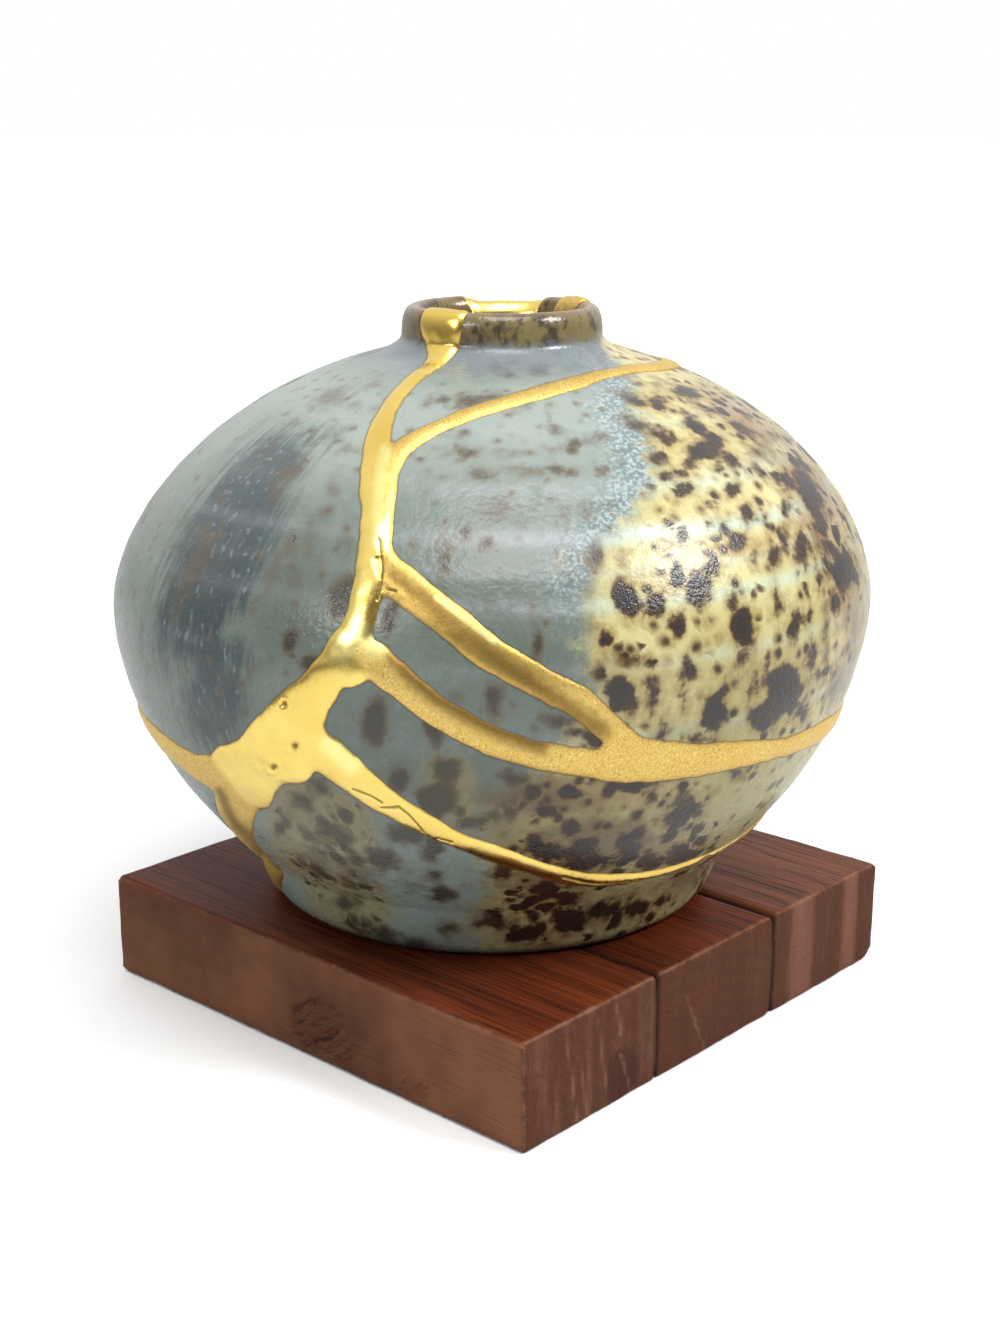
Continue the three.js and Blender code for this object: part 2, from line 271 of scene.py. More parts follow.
def plank_mesh(middle, edges, seed):
    """Board with its eased edges, cut into small cells and worn a little at its edges and corners."""
    bm = bmesh.new()
    bmesh.ops.create_cube(bm, size=1.0)
    size = Vector((PLANK_WIDTH, PLANK_LENGTH, PLANK_THICKNESS)) * MM
    bmesh.ops.scale(bm, vec=size, verts=bm.verts)
    bmesh.ops.translate(bm, vec=(middle * MM, 0, PLANK_THICKNESS / 2 * MM), verts=bm.verts)
    half = PLANK_WIDTH / 2
    corners = ((-half, 1), (half, 1), (half, 0), (-half, 0))
    for (side, upper), width in zip(corners, edges):
        corner = Vector(((middle + side) * MM, 0, PLANK_THICKNESS * MM * upper))
        nearest = [
            edge
            for edge in bm.edges
            if abs(edge.verts[0].co.y - edge.verts[1].co.y) > PLANK_LENGTH / 2 * MM
            and ((edge.verts[0].co + edge.verts[1].co) / 2 - corner).length < 0.1 * MM
        ]
        ease(bm, nearest, width, EDGE_SEGMENTS)
    for corner_x, corner_y, width in ROUNDED_CORNERS:
        upright = [
            edge
            for edge in bm.edges
            if abs(edge.verts[0].co.z - edge.verts[1].co.z) > PLANK_THICKNESS / 3 * MM
            and (edge.verts[0].co.xy - Vector((corner_x, corner_y)) * MM).length < 0.1 * MM
        ]
        if upright:
            ease(bm, upright, width, EDGE_SEGMENTS)
    ends = [
        edge
        for edge in bm.edges
        if abs(edge.verts[0].co.y - edge.verts[1].co.y) < 1e-6 and len(edge.link_faces) == 2
        and abs(edge.verts[0].co.z - edge.verts[1].co.z) < PLANK_THICKNESS / 3 * MM
    ]
    ease(bm, ends, END_EDGE, END_SEGMENTS)
    low = Vector((middle - half, -PLANK_LENGTH / 2, 0))
    span = Vector((PLANK_WIDTH, PLANK_LENGTH, PLANK_THICKNESS))
    for axis in range(3):
        count = round(span[axis] / PLANK_CELL)
        for cut in range(1, count):
            at = Vector((0, 0, 0))
            at[axis] = (low[axis] + span[axis] * cut / count) * MM
            along = Vector((0, 0, 0))
            along[axis] = 1
            whole = bm.verts[:] + bm.edges[:] + bm.faces[:]
            bmesh.ops.bisect_plane(bm, geom=whole, plane_co=at, plane_no=along)
    bmesh.ops.remove_doubles(bm, verts=bm.verts, dist=1e-6)
    shift = Vector((seed * 7, seed * 3, seed))
    bm.normal_update()
    for vert in bm.verts:
        place = vert.co / MM
        rim_x = half - abs(place.x - middle)
        rim_y = PLANK_LENGTH / 2 - abs(place.y)
        rim_z = min(place.z, PLANK_THICKNESS - place.z)
        near = sorted((rim_x, rim_y, rim_z))
        edge = max(0.0, 1 - near[1] / WEAR_REACH)
        wander = noise.noise(place * 0.16 + shift) + 0.5 * noise.noise(place * 0.6 + shift)
        wear = EDGE_WEAR * edge * (0.6 + 1.3 * wander)
        face = FACE_WAVES * noise.noise(Vector((place.x * 0.25, place.y * 0.05, place.z * 0.25)) + shift)
        vert.co -= vert.normal * ((max(wear, 0) - face) * MM)
        if vert.co.z < 0:
            vert.co.z = 0
    bmesh.ops.recalc_face_normals(bm, faces=bm.faces)
    for face in bm.faces:
        face.smooth = True
    return bm


def wood(name, heart, seed, base, dark, pale, dusty):
    """Oiled hardwood: growth rings about a heart line along Y, fibres, pores and more or less dusty ends."""
    paint = Paint(name)
    mix, step, clouds, moved, marked = paint.mix, paint.step, paint.clouds, paint.moved, paint.attribute
    wander = clouds(26, 2, place=moved((1, 0.22, 1), (seed, seed, 0)))
    from_heart = moved((1, 0.0, 1), (-heart[0], 0, -heart[1]))
    radius = paint.vector("LENGTH", from_heart, output="Value")
    radius = radius + wander * 0.0016
    ring = (radius * 2100).math("SINE") * 0.5 + 0.5
    broad = (radius * 560 + wander).math("SINE") * 0.5 + 0.5
    fibre = clouds(1500, 3, 0.6, moved((1, 0.03, 1), (seed, 0, seed)))
    pore = step(clouds(1700, 2, 0.5, moved((1, 0.03, 1), (0, seed, 0))), 0.0, 0.8)
    figure = clouds(48, 3, 0.6, moved((1, 0.4, 1), (seed, 0, 0)), 0.6)
    end = marked("end")
    side = marked("side")
    shade = mix(ring * 0.25 + broad * 0.3 + fibre * 0.5 + 0.1, dark, base)
    shade = mix(step(figure, 0.2, 1.4) * 0.4, shade, pale)
    shade = mix(pore * 0.85 * (1 - end) * (1 - side * 0.7), shade, (46, 18, 9))
    cloudy = clouds(70, 3, 0.6, moved((1, 0.5, 0.5), (seed, 0, seed)))
    flank = mix(step(cloudy, -0.7, 0.9), (84, 50, 35), (118, 76, 54))
    flank = mix(step(fibre + cloudy * 0.5, 0.2, 1.4) * 0.6, flank, (62, 34, 24))
    flame = step(marked("flame") + cloudy * 0.15, -0.15, 0.35)
    flank = mix(flame * (0.62 + fibre * 0.12), flank, (176, 122, 82))
    shade = mix(side * 0.85, shade, flank)
    dust = step(clouds(300, 4, 0.7, moved((1, 1, 0.14), (seed, 0, 0))), -0.5, 1.2)
    band = step(clouds(95, 2, 0.5, moved((1, 1, 0.1), (seed, 0, 0)), 0.3), -0.5, 0.7)
    grey = mix(dust * dusty, (88, 50, 33), (138, 98, 80))
    grey = mix(band * 0.5, grey, (82, 42, 25))
    grey = mix(ring * 0.2, grey, (70, 40, 27))
    streak = marked("streak") + dust * 0.3 - 0.15
    grey = mix(step(streak, 0.0, 1.1) * 0.5, grey, (152, 106, 88))
    grey = mix(step(streak, 0.0, -1.1) * 0.5, grey, (76, 44, 32))
    knot = step(marked("knot") + cloudy * 0.6, -0.6, 1.0)
    grey = mix(knot * 0.7, grey, (58, 30, 22))
    scratch = step(marked("scratch") + dust * 0.5 - 0.25, 0.0, 0.9)
    grey = mix(scratch * 0.28, grey, (170, 134, 112))
    shade = mix(end * 0.92, shade, grey)
    torn_way = {"Vector": paint.place, "Rotation": (0.95, 0.0, 0.0), "Scale": (1.0, 1.0, 3.2)}
    rough = clouds(620, 3, 0.6, paint.node("ShaderNodeMapping", {"vector_type": "TEXTURE"}, torn_way))
    torn = step(marked("tear") + cloudy * 0.4, -0.4, 0.9)
    shade = mix(torn * 0.45, shade, (96, 56, 40))
    shade = mix(torn * step(rough, 0.0, 0.7) * 0.85, shade, (44, 20, 12))
    rub = step(marked("rub") + clouds(500, 4, 0.7) * 0.5, 0.25, 1.3)
    shade = mix(rub * 0.4, shade, (160, 112, 84))
    # Painted shade in the grooves between the planks.
    shade = mix(marked("groove_shade") * 0.8, shade, (34, 15, 8))
    relief = fibre * 0.2 - pore * 0.6 + ring * 0.1 - torn * rough * 3 + end * dust * 0.5
    paint.surface(
        Base_Color=shade,
        Roughness=0.5 + end * 0.2 + side * 0.12 + torn * 0.15 + fibre * 0.03,
        Normal=paint.bump(relief, 0.00012),
        Specular_IOR_Level=0.18,
    )
    return paint.material


def spots(points, marks):
    """How far in, in pixels, each photo pixel is inside the nearest of some oval marks: column, row,
    width, height and, where it has one, a tilt in degrees, rising to the right."""
    column, row = points
    inside = np.full(len(column), -60.0)
    for mark_column, mark_row, width, height, *tilt in marks:
        turn = math.radians(tilt[0]) if tilt else 0.0
        right = (column - mark_column) * math.cos(turn) - (row - mark_row) * math.sin(turn)
        down = (column - mark_column) * math.sin(turn) + (row - mark_row) * math.cos(turn)
        apart = np.sqrt((right / width * 2) ** 2 + (down / height * 2) ** 2)
        inside = np.maximum(inside, (1 - apart) * min(width, height) / 2)
    return inside


def line_apart(points, lines):
    """Distance in pixels from photo pixels to the nearest of some broken lines."""
    here = np.column_stack(points)
    nearest = np.full(len(here), 99.0)
    for line in lines:
        for start, end in zip(line, line[1:]):
            start, along = np.array(start, float), np.subtract(end, start).astype(float)
            share = np.clip(((here - start) @ along) / (along @ along), 0, 1)
            nearest = np.minimum(nearest, np.linalg.norm(here - start - share[:, None] * along, axis=1))
    return nearest


# Marks on the wood: ovals by column, row, width, height and tilt, scratches as broken lines,
# and the pale bands of the right plank's end by their middle and width
TORN_WOOD = ((318, 1024, 62, 56, -40), (338, 1046, 42, 34, -30), (414, 1089, 34, 22, -30))
KNOTS = ((624, 1071, 34, 50, -8), (616, 1090, 26, 26, -8))
SCRATCHES = (
    ((565, 1031), (572, 1080), (578, 1125)),
    ((579, 1056), (588, 1118)),
    ((598, 1019), (608, 1097)),
    ((616, 1005), (621, 1035)),
    ((621, 1054), (631, 1092)),
    ((684, 990), (704, 1048)),
)
FLAMES = ((205, 940, 130, 60, -26), (255, 972, 60, 46, -50))
PALE_BANDS = ((26.0, 8.7), (41.6, 6.7))
BAND_SOFT = 2.4
SCRATCH_WIDTH = 3.5
SEEN_FACE = 49.0
TEAR_PER_PIXEL = 0.14
KNOT_PER_PIXEL = 0.2
FLAME_PER_PIXEL = 0.06
WOODS = {
    "left": ((116, 52, 23), (68, 28, 12), (132, 74, 42), 0.7),
    "middle": ((114, 46, 18), (64, 24, 9), (132, 66, 32), 0.2),
    "right": ((126, 72, 50), (86, 45, 30), (150, 98, 74), 0.45),
}
for which, plank in PLANKS.items():
    bm = plank_mesh(plank["middle"], plank["edges"], plank["seed"])
    piece = piece_from(bm, "oiled_plank_" + which)
    place = np.array([vert.co for vert in piece.data.vertices]) / MM
    across, along, height = place.T
    pixels = photo_pixels(place * MM)
    seen_left = across < -SEEN_FACE
    seen_end = along < -SEEN_FACE
    bands = sum(
        2 * smooth(width / 2 - np.abs(across - at), -BAND_SOFT, BAND_SOFT) for at, width in PALE_BANDS
    )
    from_joint = np.abs(np.abs(across) - PLANK_WIDTH / 2)
    from_side = PLANK_WIDTH / 2 - np.abs(across - plank["middle"])
    rims = np.sort([
        np.where(from_joint < PLANK_WIDTH / 3, PLANK_WIDTH, from_side),
        PLANK_LENGTH / 2 - np.abs(along),
        np.minimum(height, PLANK_THICKNESS - height),
    ], axis=0)
    attributes_on(piece, {
        "end": smooth(np.abs(along), PLANK_LENGTH / 2 - 0.7, PLANK_LENGTH / 2 - 0.2),
        "side": smooth(np.abs(across), HALF_STAND - 0.6, HALF_STAND - 0.2),
        "tear": np.clip(np.where(seen_left, spots(pixels, TORN_WOOD) * TEAR_PER_PIXEL, -3), -3, 1.2),
        "knot": np.clip(np.where(seen_end, spots(pixels, KNOTS) * KNOT_PER_PIXEL, -3), -3, 2),
        "scratch": np.clip(1 - line_apart(pixels, SCRATCHES) / SCRATCH_WIDTH, -1, 1) * seen_end,
        "flame": np.clip(np.where(seen_left, spots(pixels, FLAMES) * FLAME_PER_PIXEL, -1), -1, 1),
        "streak": (bands - 1) * (across > HALF_STAND - PLANK_WIDTH + 2),
        # Where shade is painted in the grooves between the planks.
        "groove_shade": 1 - smooth(from_joint, 0.2, 1.3),
        "rub": 1 - smooth(rims[1], 0.1, 0.9),
    })
    piece.data.materials.append(wood("wood_" + which, plank["heart"], plank["seed"], *WOODS[which]))
    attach(piece, "root")
    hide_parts("plank_" + which)

# Thrown and glazed stoneware, broken in six
# The vase was thrown on a wheel in one go, so it leans a little, shows throwing rings and has a 5 mm wall
# and a rounded lip. It is turned here whole, and the seams then cut it into its six broken pieces.
VASE_HEIGHT = 104.0
BELLY_RADIUS = 66.4
BELLY_HEIGHT = 54.0
ROUNDNESS = 1.8
FOOT_RADIUS = 36.7
FOOT_EDGE = 2.8
FOOT_BAND = (44.0, 10.5)
NECK_ROOT = (21.0, 96.0)
LIP_RADIUS = 17.3
LIP_DEPTH = 5.0
MOUTH_RADIUS = 13.2
WALL = 5.0
FLOOR = 6.0
FLOOR_EDGE = 3.0
FRONT = math.radians(222.2)
FOOT_SHIFT = -1.75
NECK_SHIFT = 0.35
LEAN = (0.385, 0.923)
RIM_DIP = (0.8, 177.0, 17.0, 34.0)
AROUND = 464
ROWS = {"base": 24, "edge": 5, "band": 8, "body": 118, "neck": 5, "lip": 8}
RINGS = (
    (88.2, 1.1, 0.1), (82.5, 1.5, 0.14), (76.6, 1.3, 0.12), (71, 1.4, 0.16), (64.5, 1.8, 0.1),
    (57, 2.2, 0.08), (48.5, 1.7, 0.1), (41, 2, 0.08), (33.5, 1.8, 0.1), (25, 1.6, 0.12), (17.5, 1.3, 0.12),
    (11, 1, 0.14),
)
SLOW_WAVES = 0.28
RING_WANDER = 1.1
RING_SHARE = 0.55
LIP_WAVES = 0.12


def reach_through(radius, drop):
    """Half height of the belly's curve that has a radius at a drop from the belly."""
    return drop / (1 - (radius / BELLY_RADIUS) ** 2) ** (1 / ROUNDNESS)


REACH_ABOVE = reach_through(NECK_ROOT[0], NECK_ROOT[1] - BELLY_HEIGHT)
REACH_BELOW = reach_through(FOOT_BAND[0], BELLY_HEIGHT - FOOT_BAND[1])


def body_rows(low, high, count, inset):
    """Radius and height of rows up the belly, even in angle round it."""
    first = math.asin((low - BELLY_HEIGHT) / (REACH_BELOW - inset))
    last = math.asin((high - BELLY_HEIGHT) / (REACH_ABOVE - inset))
    angle = np.linspace(first, last, count + 1)[1:]
    height = BELLY_HEIGHT + (np.where(angle > 0, REACH_ABOVE, REACH_BELOW) - inset) * np.sin(angle)
    share = np.abs(np.sin(angle)) ** ROUNDNESS
    return np.column_stack([(BELLY_RADIUS - inset) * np.sqrt(1 - share), height])


def bend(start, pull, end, count):
    """Rows along a curve from start to end that is drawn towards a pull; start itself is left out."""
    share = np.linspace(0, 1, count + 1)[1:, None]
    start, pull, end = np.array(start), np.array(pull), np.array(end)
    return (1 - share) ** 2 * start + 2 * share * (1 - share) * pull + share**2 * end


CREST = ((LIP_RADIUS + MOUTH_RADIUS) / 2, VASE_HEIGHT)
LIP_FOOT = (LIP_RADIUS, VASE_HEIGHT - LIP_DEPTH)
FOOT_TOP = (FOOT_RADIUS + 1.4 * FOOT_EDGE, FOOT_EDGE)
outer_rows = np.vstack([
    [(0.0, 0.0)],
    bend((0, 0), (FOOT_RADIUS / 2, 0), (FOOT_RADIUS, 0), ROWS["base"]),
    bend((FOOT_RADIUS, 0), (FOOT_RADIUS + FOOT_EDGE, 0), FOOT_TOP, ROWS["edge"]),
    bend(FOOT_TOP, np.add(FOOT_TOP, FOOT_BAND) / 2, FOOT_BAND, ROWS["band"]),
    body_rows(FOOT_BAND[1], NECK_ROOT[1], ROWS["body"], 0),
    bend(NECK_ROOT, (LIP_RADIUS, NECK_ROOT[1] * 0.4 + LIP_FOOT[1] * 0.6), LIP_FOOT, ROWS["neck"]),
    bend(LIP_FOOT, (LIP_RADIUS, VASE_HEIGHT), CREST, ROWS["lip"]),
])
inner_body = body_rows(FLOOR + FLOOR_EDGE, BELLY_HEIGHT + (REACH_ABOVE - WALL) * (
    1 - (MOUTH_RADIUS / (BELLY_RADIUS - WALL)) ** 2) ** (1 / ROUNDNESS), ROWS["band"] + ROWS["body"], WALL)
floor_rim = np.array([inner_body[0][0] - 2 * FLOOR_EDGE, FLOOR])
throat = np.array([MOUTH_RADIUS, VASE_HEIGHT - LIP_RADIUS + MOUTH_RADIUS])
inner_rows = np.vstack([
    [(0.0, FLOOR)],
    bend((0, FLOOR), (floor_rim[0] / 2, FLOOR), floor_rim, ROWS["base"]),
    bend(floor_rim, (floor_rim[0] + 1.5 * FLOOR_EDGE, FLOOR), inner_body[0], ROWS["edge"]),
    inner_body,
    bend(inner_body[-1], (inner_body[-1] + throat) / 2, throat, ROWS["neck"]),
    bend(throat, (MOUTH_RADIUS, VASE_HEIGHT), CREST, ROWS["lip"]),
])


def row_normals(rows):
    """Direction away from the clay at each row: right of the way that the rows run."""
    along = np.gradient(rows, axis=0)
    across = np.column_stack([along[:, 1], -along[:, 0]])
    return across / np.linalg.norm(across, axis=1)[:, None]


outer_normals = row_normals(outer_rows)
inner_normals = -row_normals(inner_rows)
outer_normals[-1] = (0, 1)
inner_normals[-1] = (0, 1)
row_count = np.arange(len(outer_rows))


def row_at(turned):
    """Row number, whole or between two rows, of places on the turned outside."""
    radius = np.hypot(turned[:, 0], turned[:, 1])
    rising = slice(ROWS["base"], None)
    up = np.interp(turned[:, 2], outer_rows[rising, 1], row_count[rising])
    flat = np.interp(radius, outer_rows[: ROWS["base"] + 1, 0], row_count[: ROWS["base"] + 1])
    return np.where(turned[:, 2] > 1e-3, up, flat)


def on_rows(row, rows):
    """Radius and height, or a direction, at row numbers that may lie between two rows."""
    return np.column_stack([np.interp(row, row_count, rows[:, 0]), np.interp(row, row_count, rows[:, 1])])


def bearing_of(turned):
    """Angle in degrees round the vase from its front, to the viewer's right."""
    angle = np.degrees(np.arctan2(turned[:, 1], turned[:, 0]) - FRONT)
    return (angle + 540) % 360 - 180


def stand_up(bearing, radius, height):
    """Places in metres, with the vase's lean, the sag of its rim and the stand below it."""
    angle = FRONT + np.radians(bearing)
    lean = FOOT_SHIFT + (NECK_SHIFT - FOOT_SHIFT) * smooth(height / VASE_HEIGHT, *LEAN)
    depth, middle, full, none = RIM_DIP
    turn = np.abs((bearing - middle + 540) % 360 - 180)
    dip = depth * (1 - smooth(turn, full, none)) * smooth(height, VASE_HEIGHT - LIP_DEPTH, VASE_HEIGHT)
    side = FRONT + math.pi / 2
    x = radius * np.cos(angle) + lean * math.cos(side)
    y = radius * np.sin(angle) + lean * math.sin(side)
    return np.column_stack([x, y, PLANK_THICKNESS + height - dip]) * MM


def wandering(points, scale, shift=0.0):
    """Smooth random numbers at points, about minus one to one, with lumps 1 / scale across."""
    offset = Vector((shift, shift * 0.7, -shift))
    return np.array([noise.noise(Vector(point) * scale + offset) for point in points])


def thrown_relief(turned):
    """How far the thrown wall stands out of its smooth curve, in millimetres."""
    height = turned[:, 2]
    slow = wandering(turned * (1, 1, 2.2), 0.018, 5) * SLOW_WAVES
    level = height + wandering(turned, 0.03, 9) * RING_WANDER
    rings = sum(depth * np.exp(-(((level - at) / width) ** 2)) for at, width, depth in RINGS) * RING_SHARE
    fade = smooth(height, 1.5, 8) * (1 - smooth(height, 96, 101))
    return (slow + rings) * fade + LIP_WAVES * wandering(turned, 0.15, 2) * smooth(height, 97, 103.5)


# Breaks through the wall, each a run of stations: bearing in degrees, height and width in millimetres
SEAMS = {
    "mouth": (
        (-38.3, 104, 9), (-37.4, 102, 8.7), (-34.6, 99.2, 6.4), (-32.9, 96.8, 4.2), (-32.2, 94, 3.4),
        (-30.4, 91.4, 3.3), (-28.7, 89.1, 3.8), (-26.1, 86.5, 4.4), (-22.9, 84, 5.2),
    ),
    "shoulder": (
        (-22.5, 84, 5.2), (-19.6, 86.9, 4), (-15, 89, 3.4), (-6.3, 91.1, 3.5), (5.5, 92.7, 3.9),
        (21.3, 93.9, 4), (37.8, 94.7, 3.1), (56.7, 94.8, 3.1), (70, 94.4, 3.5), (84, 93.9, 3.6),
        (96, 93.4, 3.6), (107, 92.8, 3.8), (117, 92.4, 4.2), (125, 93, 4.8), (130, 95.2, 5.4),
        (130, 98, 6), (126, 101, 6.8), (120.5, 104, 7.6),
    ),
    "trunk": (
        (-22.7, 84, 6.2), (-21.4, 81.4, 6), (-19.5, 77.7, 5.1), (-17.9, 71.8, 5.2), (-17.8, 65.2, 4.8),
        (-18.6, 60.8, 5.6), (-18.8, 58.5, 6.6),
    ),
    "sliver_top": (
        (-17.7, 72.2, 4.6), (-14.9, 70.6, 5.2), (-11.3, 68.3, 5.2), (-5.9, 64.8, 5.1), (-0.2, 60.2, 4.9),
        (6.4, 56, 4.5), (11.6, 52.4, 4.6), (16.7, 47.1, 4.2), (19.6, 43.6, 4.4),
    ),
    "sliver_bottom": (
        (-18.8, 60.2, 5.2), (-15.4, 58.8, 5.2), (-11.7, 55.8, 4.9), (-5.1, 50.4, 4.8), (1.8, 46.2, 4.7),
        (8.8, 43.7, 4.7), (16.5, 41.8, 5.2), (19.5, 41.4, 5.6),
    ),
    "equator_right": (
        (17.4, 42.6, 7.6), (22.8, 41.5, 7.5), (29.7, 40.3, 6.2), (36.1, 39.8, 5.6), (42.2, 38.9, 4.7),
        (48.3, 38, 4.1), (55.2, 37.4, 4.6), (61.4, 36.8, 5.4), (68.3, 35.7, 5.3), (90, 35.4, 4.5),
        (120, 37.4, 4), (150, 40, 4.5), (172, 39.5, 5),
    ),
    "lower_trunk": (
        (-18.8, 59.6, 5.8), (-20.2, 57.6, 5.7), (-23.7, 52.3, 6.8), (-27, 47.2, 9.1), (-32.9, 40.1, 9.6),
        (-37.5, 36.2, 10.4), (-41, 33.4, 10),
    ),
    "lower_right": (
        (-27, 46, 7), (-23.2, 43.6, 7.6), (-19.8, 40.4, 7.1), (-15.2, 35.9, 5.8), (-9.7, 31.9, 4.7),
        (-3.9, 28.3, 3.6), (2.1, 25.3, 4.2), (8.7, 21.9, 3.7), (15.3, 18.9, 4), (23.5, 17.1, 4),
        (31.7, 16.3, 3.3), (40.3, 16.1, 3), (48.5, 16.3, 2.3), (60, 16.6, 2.5), (90, 19.2, 2.7),
        (120, 26, 3), (145, 34.8, 3.5), (152, 40, 4),
    ),
    "equator_left": (
        (-41, 33.6, 9.6), (-45.2, 33.4, 8.8), (-49.5, 33.2, 7.6), (-58.3, 34.2, 6.7), (-65.4, 34.7, 6.4),
        (-75, 34.8, 6), (-88, 34.3, 5.2), (-112, 34.8, 4.5), (-140, 37.4, 4.2), (-165, 39, 4.5),
        (-188, 39.5, 5),
    ),
    "foot": (
        (-41, 33, 9), (-45.8, 27, 8.5), (-50.5, 22, 7.8), (-53.5, 17, 7.4), (-60, 10.5, 7),
        (-67.7, 5.7, 6.5), (-76, 1.5, 6), (-82, 0.1, 6),
    ),
    "back": (
        (178.5, 104, 16), (178.5, 101, 14.5), (177.5, 97, 7.5), (174, 93.6, 4.5), (169, 86.3, 4),
        (164, 78, 4.2), (162, 67.6, 4), (165, 54, 4.5), (172, 39.5, 5),
    ),
}
PATCHES = ((-29.5, 42, 6.0), (-39, 35, 6.2), (-18.8, 58.4, 3.9), (172, 39.5, 3.6))
SEAM_SAMPLE = 0.7
SEAM_BLEND = 1.3
SEAM_MARGIN = 12
RAGGED = (0.24, 0.07)
FAR_FROM_SEAM = -30.0
CELLS_HALVED = -1.1
SHORTEST_HALVED = 0.35
CUT_LEVELS = (0.0, 0.38)
SNAP = 0.09
SLOPE_SPAN = 0.08
FEWEST_FACES = 150
CHUNK = 4000


def through(stations, spacing):
    """Stations on a smooth curve through others, about a spacing apart."""
    stations = np.array(stations, float)
    ends = np.vstack([2 * stations[0] - stations[1], stations, 2 * stations[-1] - stations[-2]])
    made = []
    for before, start, end, after in zip(ends, ends[1:], ends[2:], ends[3:]):
        arc = math.radians(end[0] - start[0]) * BELLY_RADIUS
        count = max(2, math.ceil(math.hypot(arc, end[1] - start[1]) / spacing))
        share = np.linspace(0, 1, count, endpoint=False)[:, None]
        made.append(0.5 * (2 * start + (end - before) * share
                           + (2 * before - 5 * start + 4 * end - after) * share**2
                           + (3 * start - before - 3 * end + after) * share**3))
    return np.vstack([*made, stations[-1:]])


def on_turned(bearing, height):
    """Places on the turned outside, without lean, in millimetres."""
    rising = slice(ROWS["base"], None)
    radius = np.interp(height, outer_rows[rising, 1], outer_rows[rising, 0])
    angle = FRONT + np.radians(bearing)
    return np.column_stack([radius * np.cos(angle), radius * np.sin(angle), np.clip(height, 0, VASE_HEIGHT)])


def seam_lines():
    """Name, places along it and half widths of each seam and patch."""
    lines = []
    for name, stations in SEAMS.items():
        run = through(stations, SEAM_SAMPLE)
        lines.append((name, on_turned(run[:, 0], run[:, 1]), run[:, 2] / 2))
    for bearing, height, radius in PATCHES:
        lines.append(("patch", on_turned(np.array([bearing]), np.array([height])), np.array([radius])))
    return lines


seam_runs = seam_lines()


def seam_depth(turned):
    """How far inside the gold each place is, in millimetres, and the half width and number of its seam."""
    depth = np.full(len(turned), FAR_FROM_SEAM)
    half = np.ones(len(turned))
    owner = np.zeros(len(turned), int)
    for number, (_, line, widths) in enumerate(seam_runs):
        low = line.min(0) - SEAM_MARGIN
        high = line.max(0) + SEAM_MARGIN
        near = np.nonzero(np.all((turned > low) & (turned < high), axis=1))[0]
        for chunk in np.array_split(near, max(1, len(near) // CHUNK)):
            if not len(chunk):
                continue
            apart = np.sqrt(((turned[chunk, None] - line[None]) ** 2).sum(2))
            inside = widths[None] - apart
            best = inside.argmax(1)
            found = inside[np.arange(len(chunk)), best]
            before = depth[chunk]
            half[chunk] = np.where(found > before, widths[best], half[chunk])
            owner[chunk] = np.where(found > before, number, owner[chunk])
            joined = np.maximum(SEAM_BLEND - np.abs(found - before), 0) / SEAM_BLEND
            depth[chunk] = np.maximum(found, before) + joined**2 * SEAM_BLEND / 4
    close = np.nonzero(depth > -3)[0]
    ragged = wandering(turned[close], 0.35, 3) * RAGGED[0] + wandering(turned[close], 0.9, 4) * RAGGED[1]
    depth[close] += ragged
    return depth, half, owner


def co_of(bm):
    return np.array([vert.co for vert in bm.verts])


def cut_along(bm, depth, level):
    """Cuts the faces along the line where the depth passes a level."""
    close = [vert for vert in bm.verts if abs(vert[depth] - level) < SNAP]
    if close:
        here = np.array([vert.co for vert in close])
        axis = np.column_stack([here[:, 0], here[:, 1], np.zeros(len(here))])
        axis /= np.linalg.norm(axis, axis=1)[:, None] + 1e-9
        row = row_at(here)
        slope = on_rows(row, outer_normals)
        normal = np.column_stack([axis[:, :2] * slope[:, :1], slope[:, 1]])
        around = np.cross(normal, (0, 0, 1.0))
        around /= np.linalg.norm(around, axis=1)[:, None] + 1e-9
        rising = np.cross(around, normal)
        slopes = []
        for way in (around, rising):
            ahead = seam_depth(here + way * SLOPE_SPAN)[0]
            behind = seam_depth(here - way * SLOPE_SPAN)[0]
            slopes.append((ahead - behind) / (2 * SLOPE_SPAN))
        steep = slopes[0] ** 2 + slopes[1] ** 2 + 0.05
        off = np.array([vert[depth] for vert in close]) - level
        move = -(around * slopes[0][:, None] + rising * slopes[1][:, None]) * (off / steep)[:, None]
        for vert, shift in zip(close, move):
            if vert.co.z > 0.05 and vert.co.z < VASE_HEIGHT - 0.01:
                vert.co += Vector(shift)
            vert[depth] = level
    for edge in list(bm.edges):
        first, second = edge.verts
        before, after = first[depth] - level, second[depth] - level
        if before * after < 0:
            _, made = bmesh.utils.edge_split(edge, first, before / (before - after))
            made[depth] = level
    on_line = [vert for vert in bm.verts if abs(vert[depth] - level) < 1e-6]
    bmesh.ops.connect_verts(bm, verts=on_line)


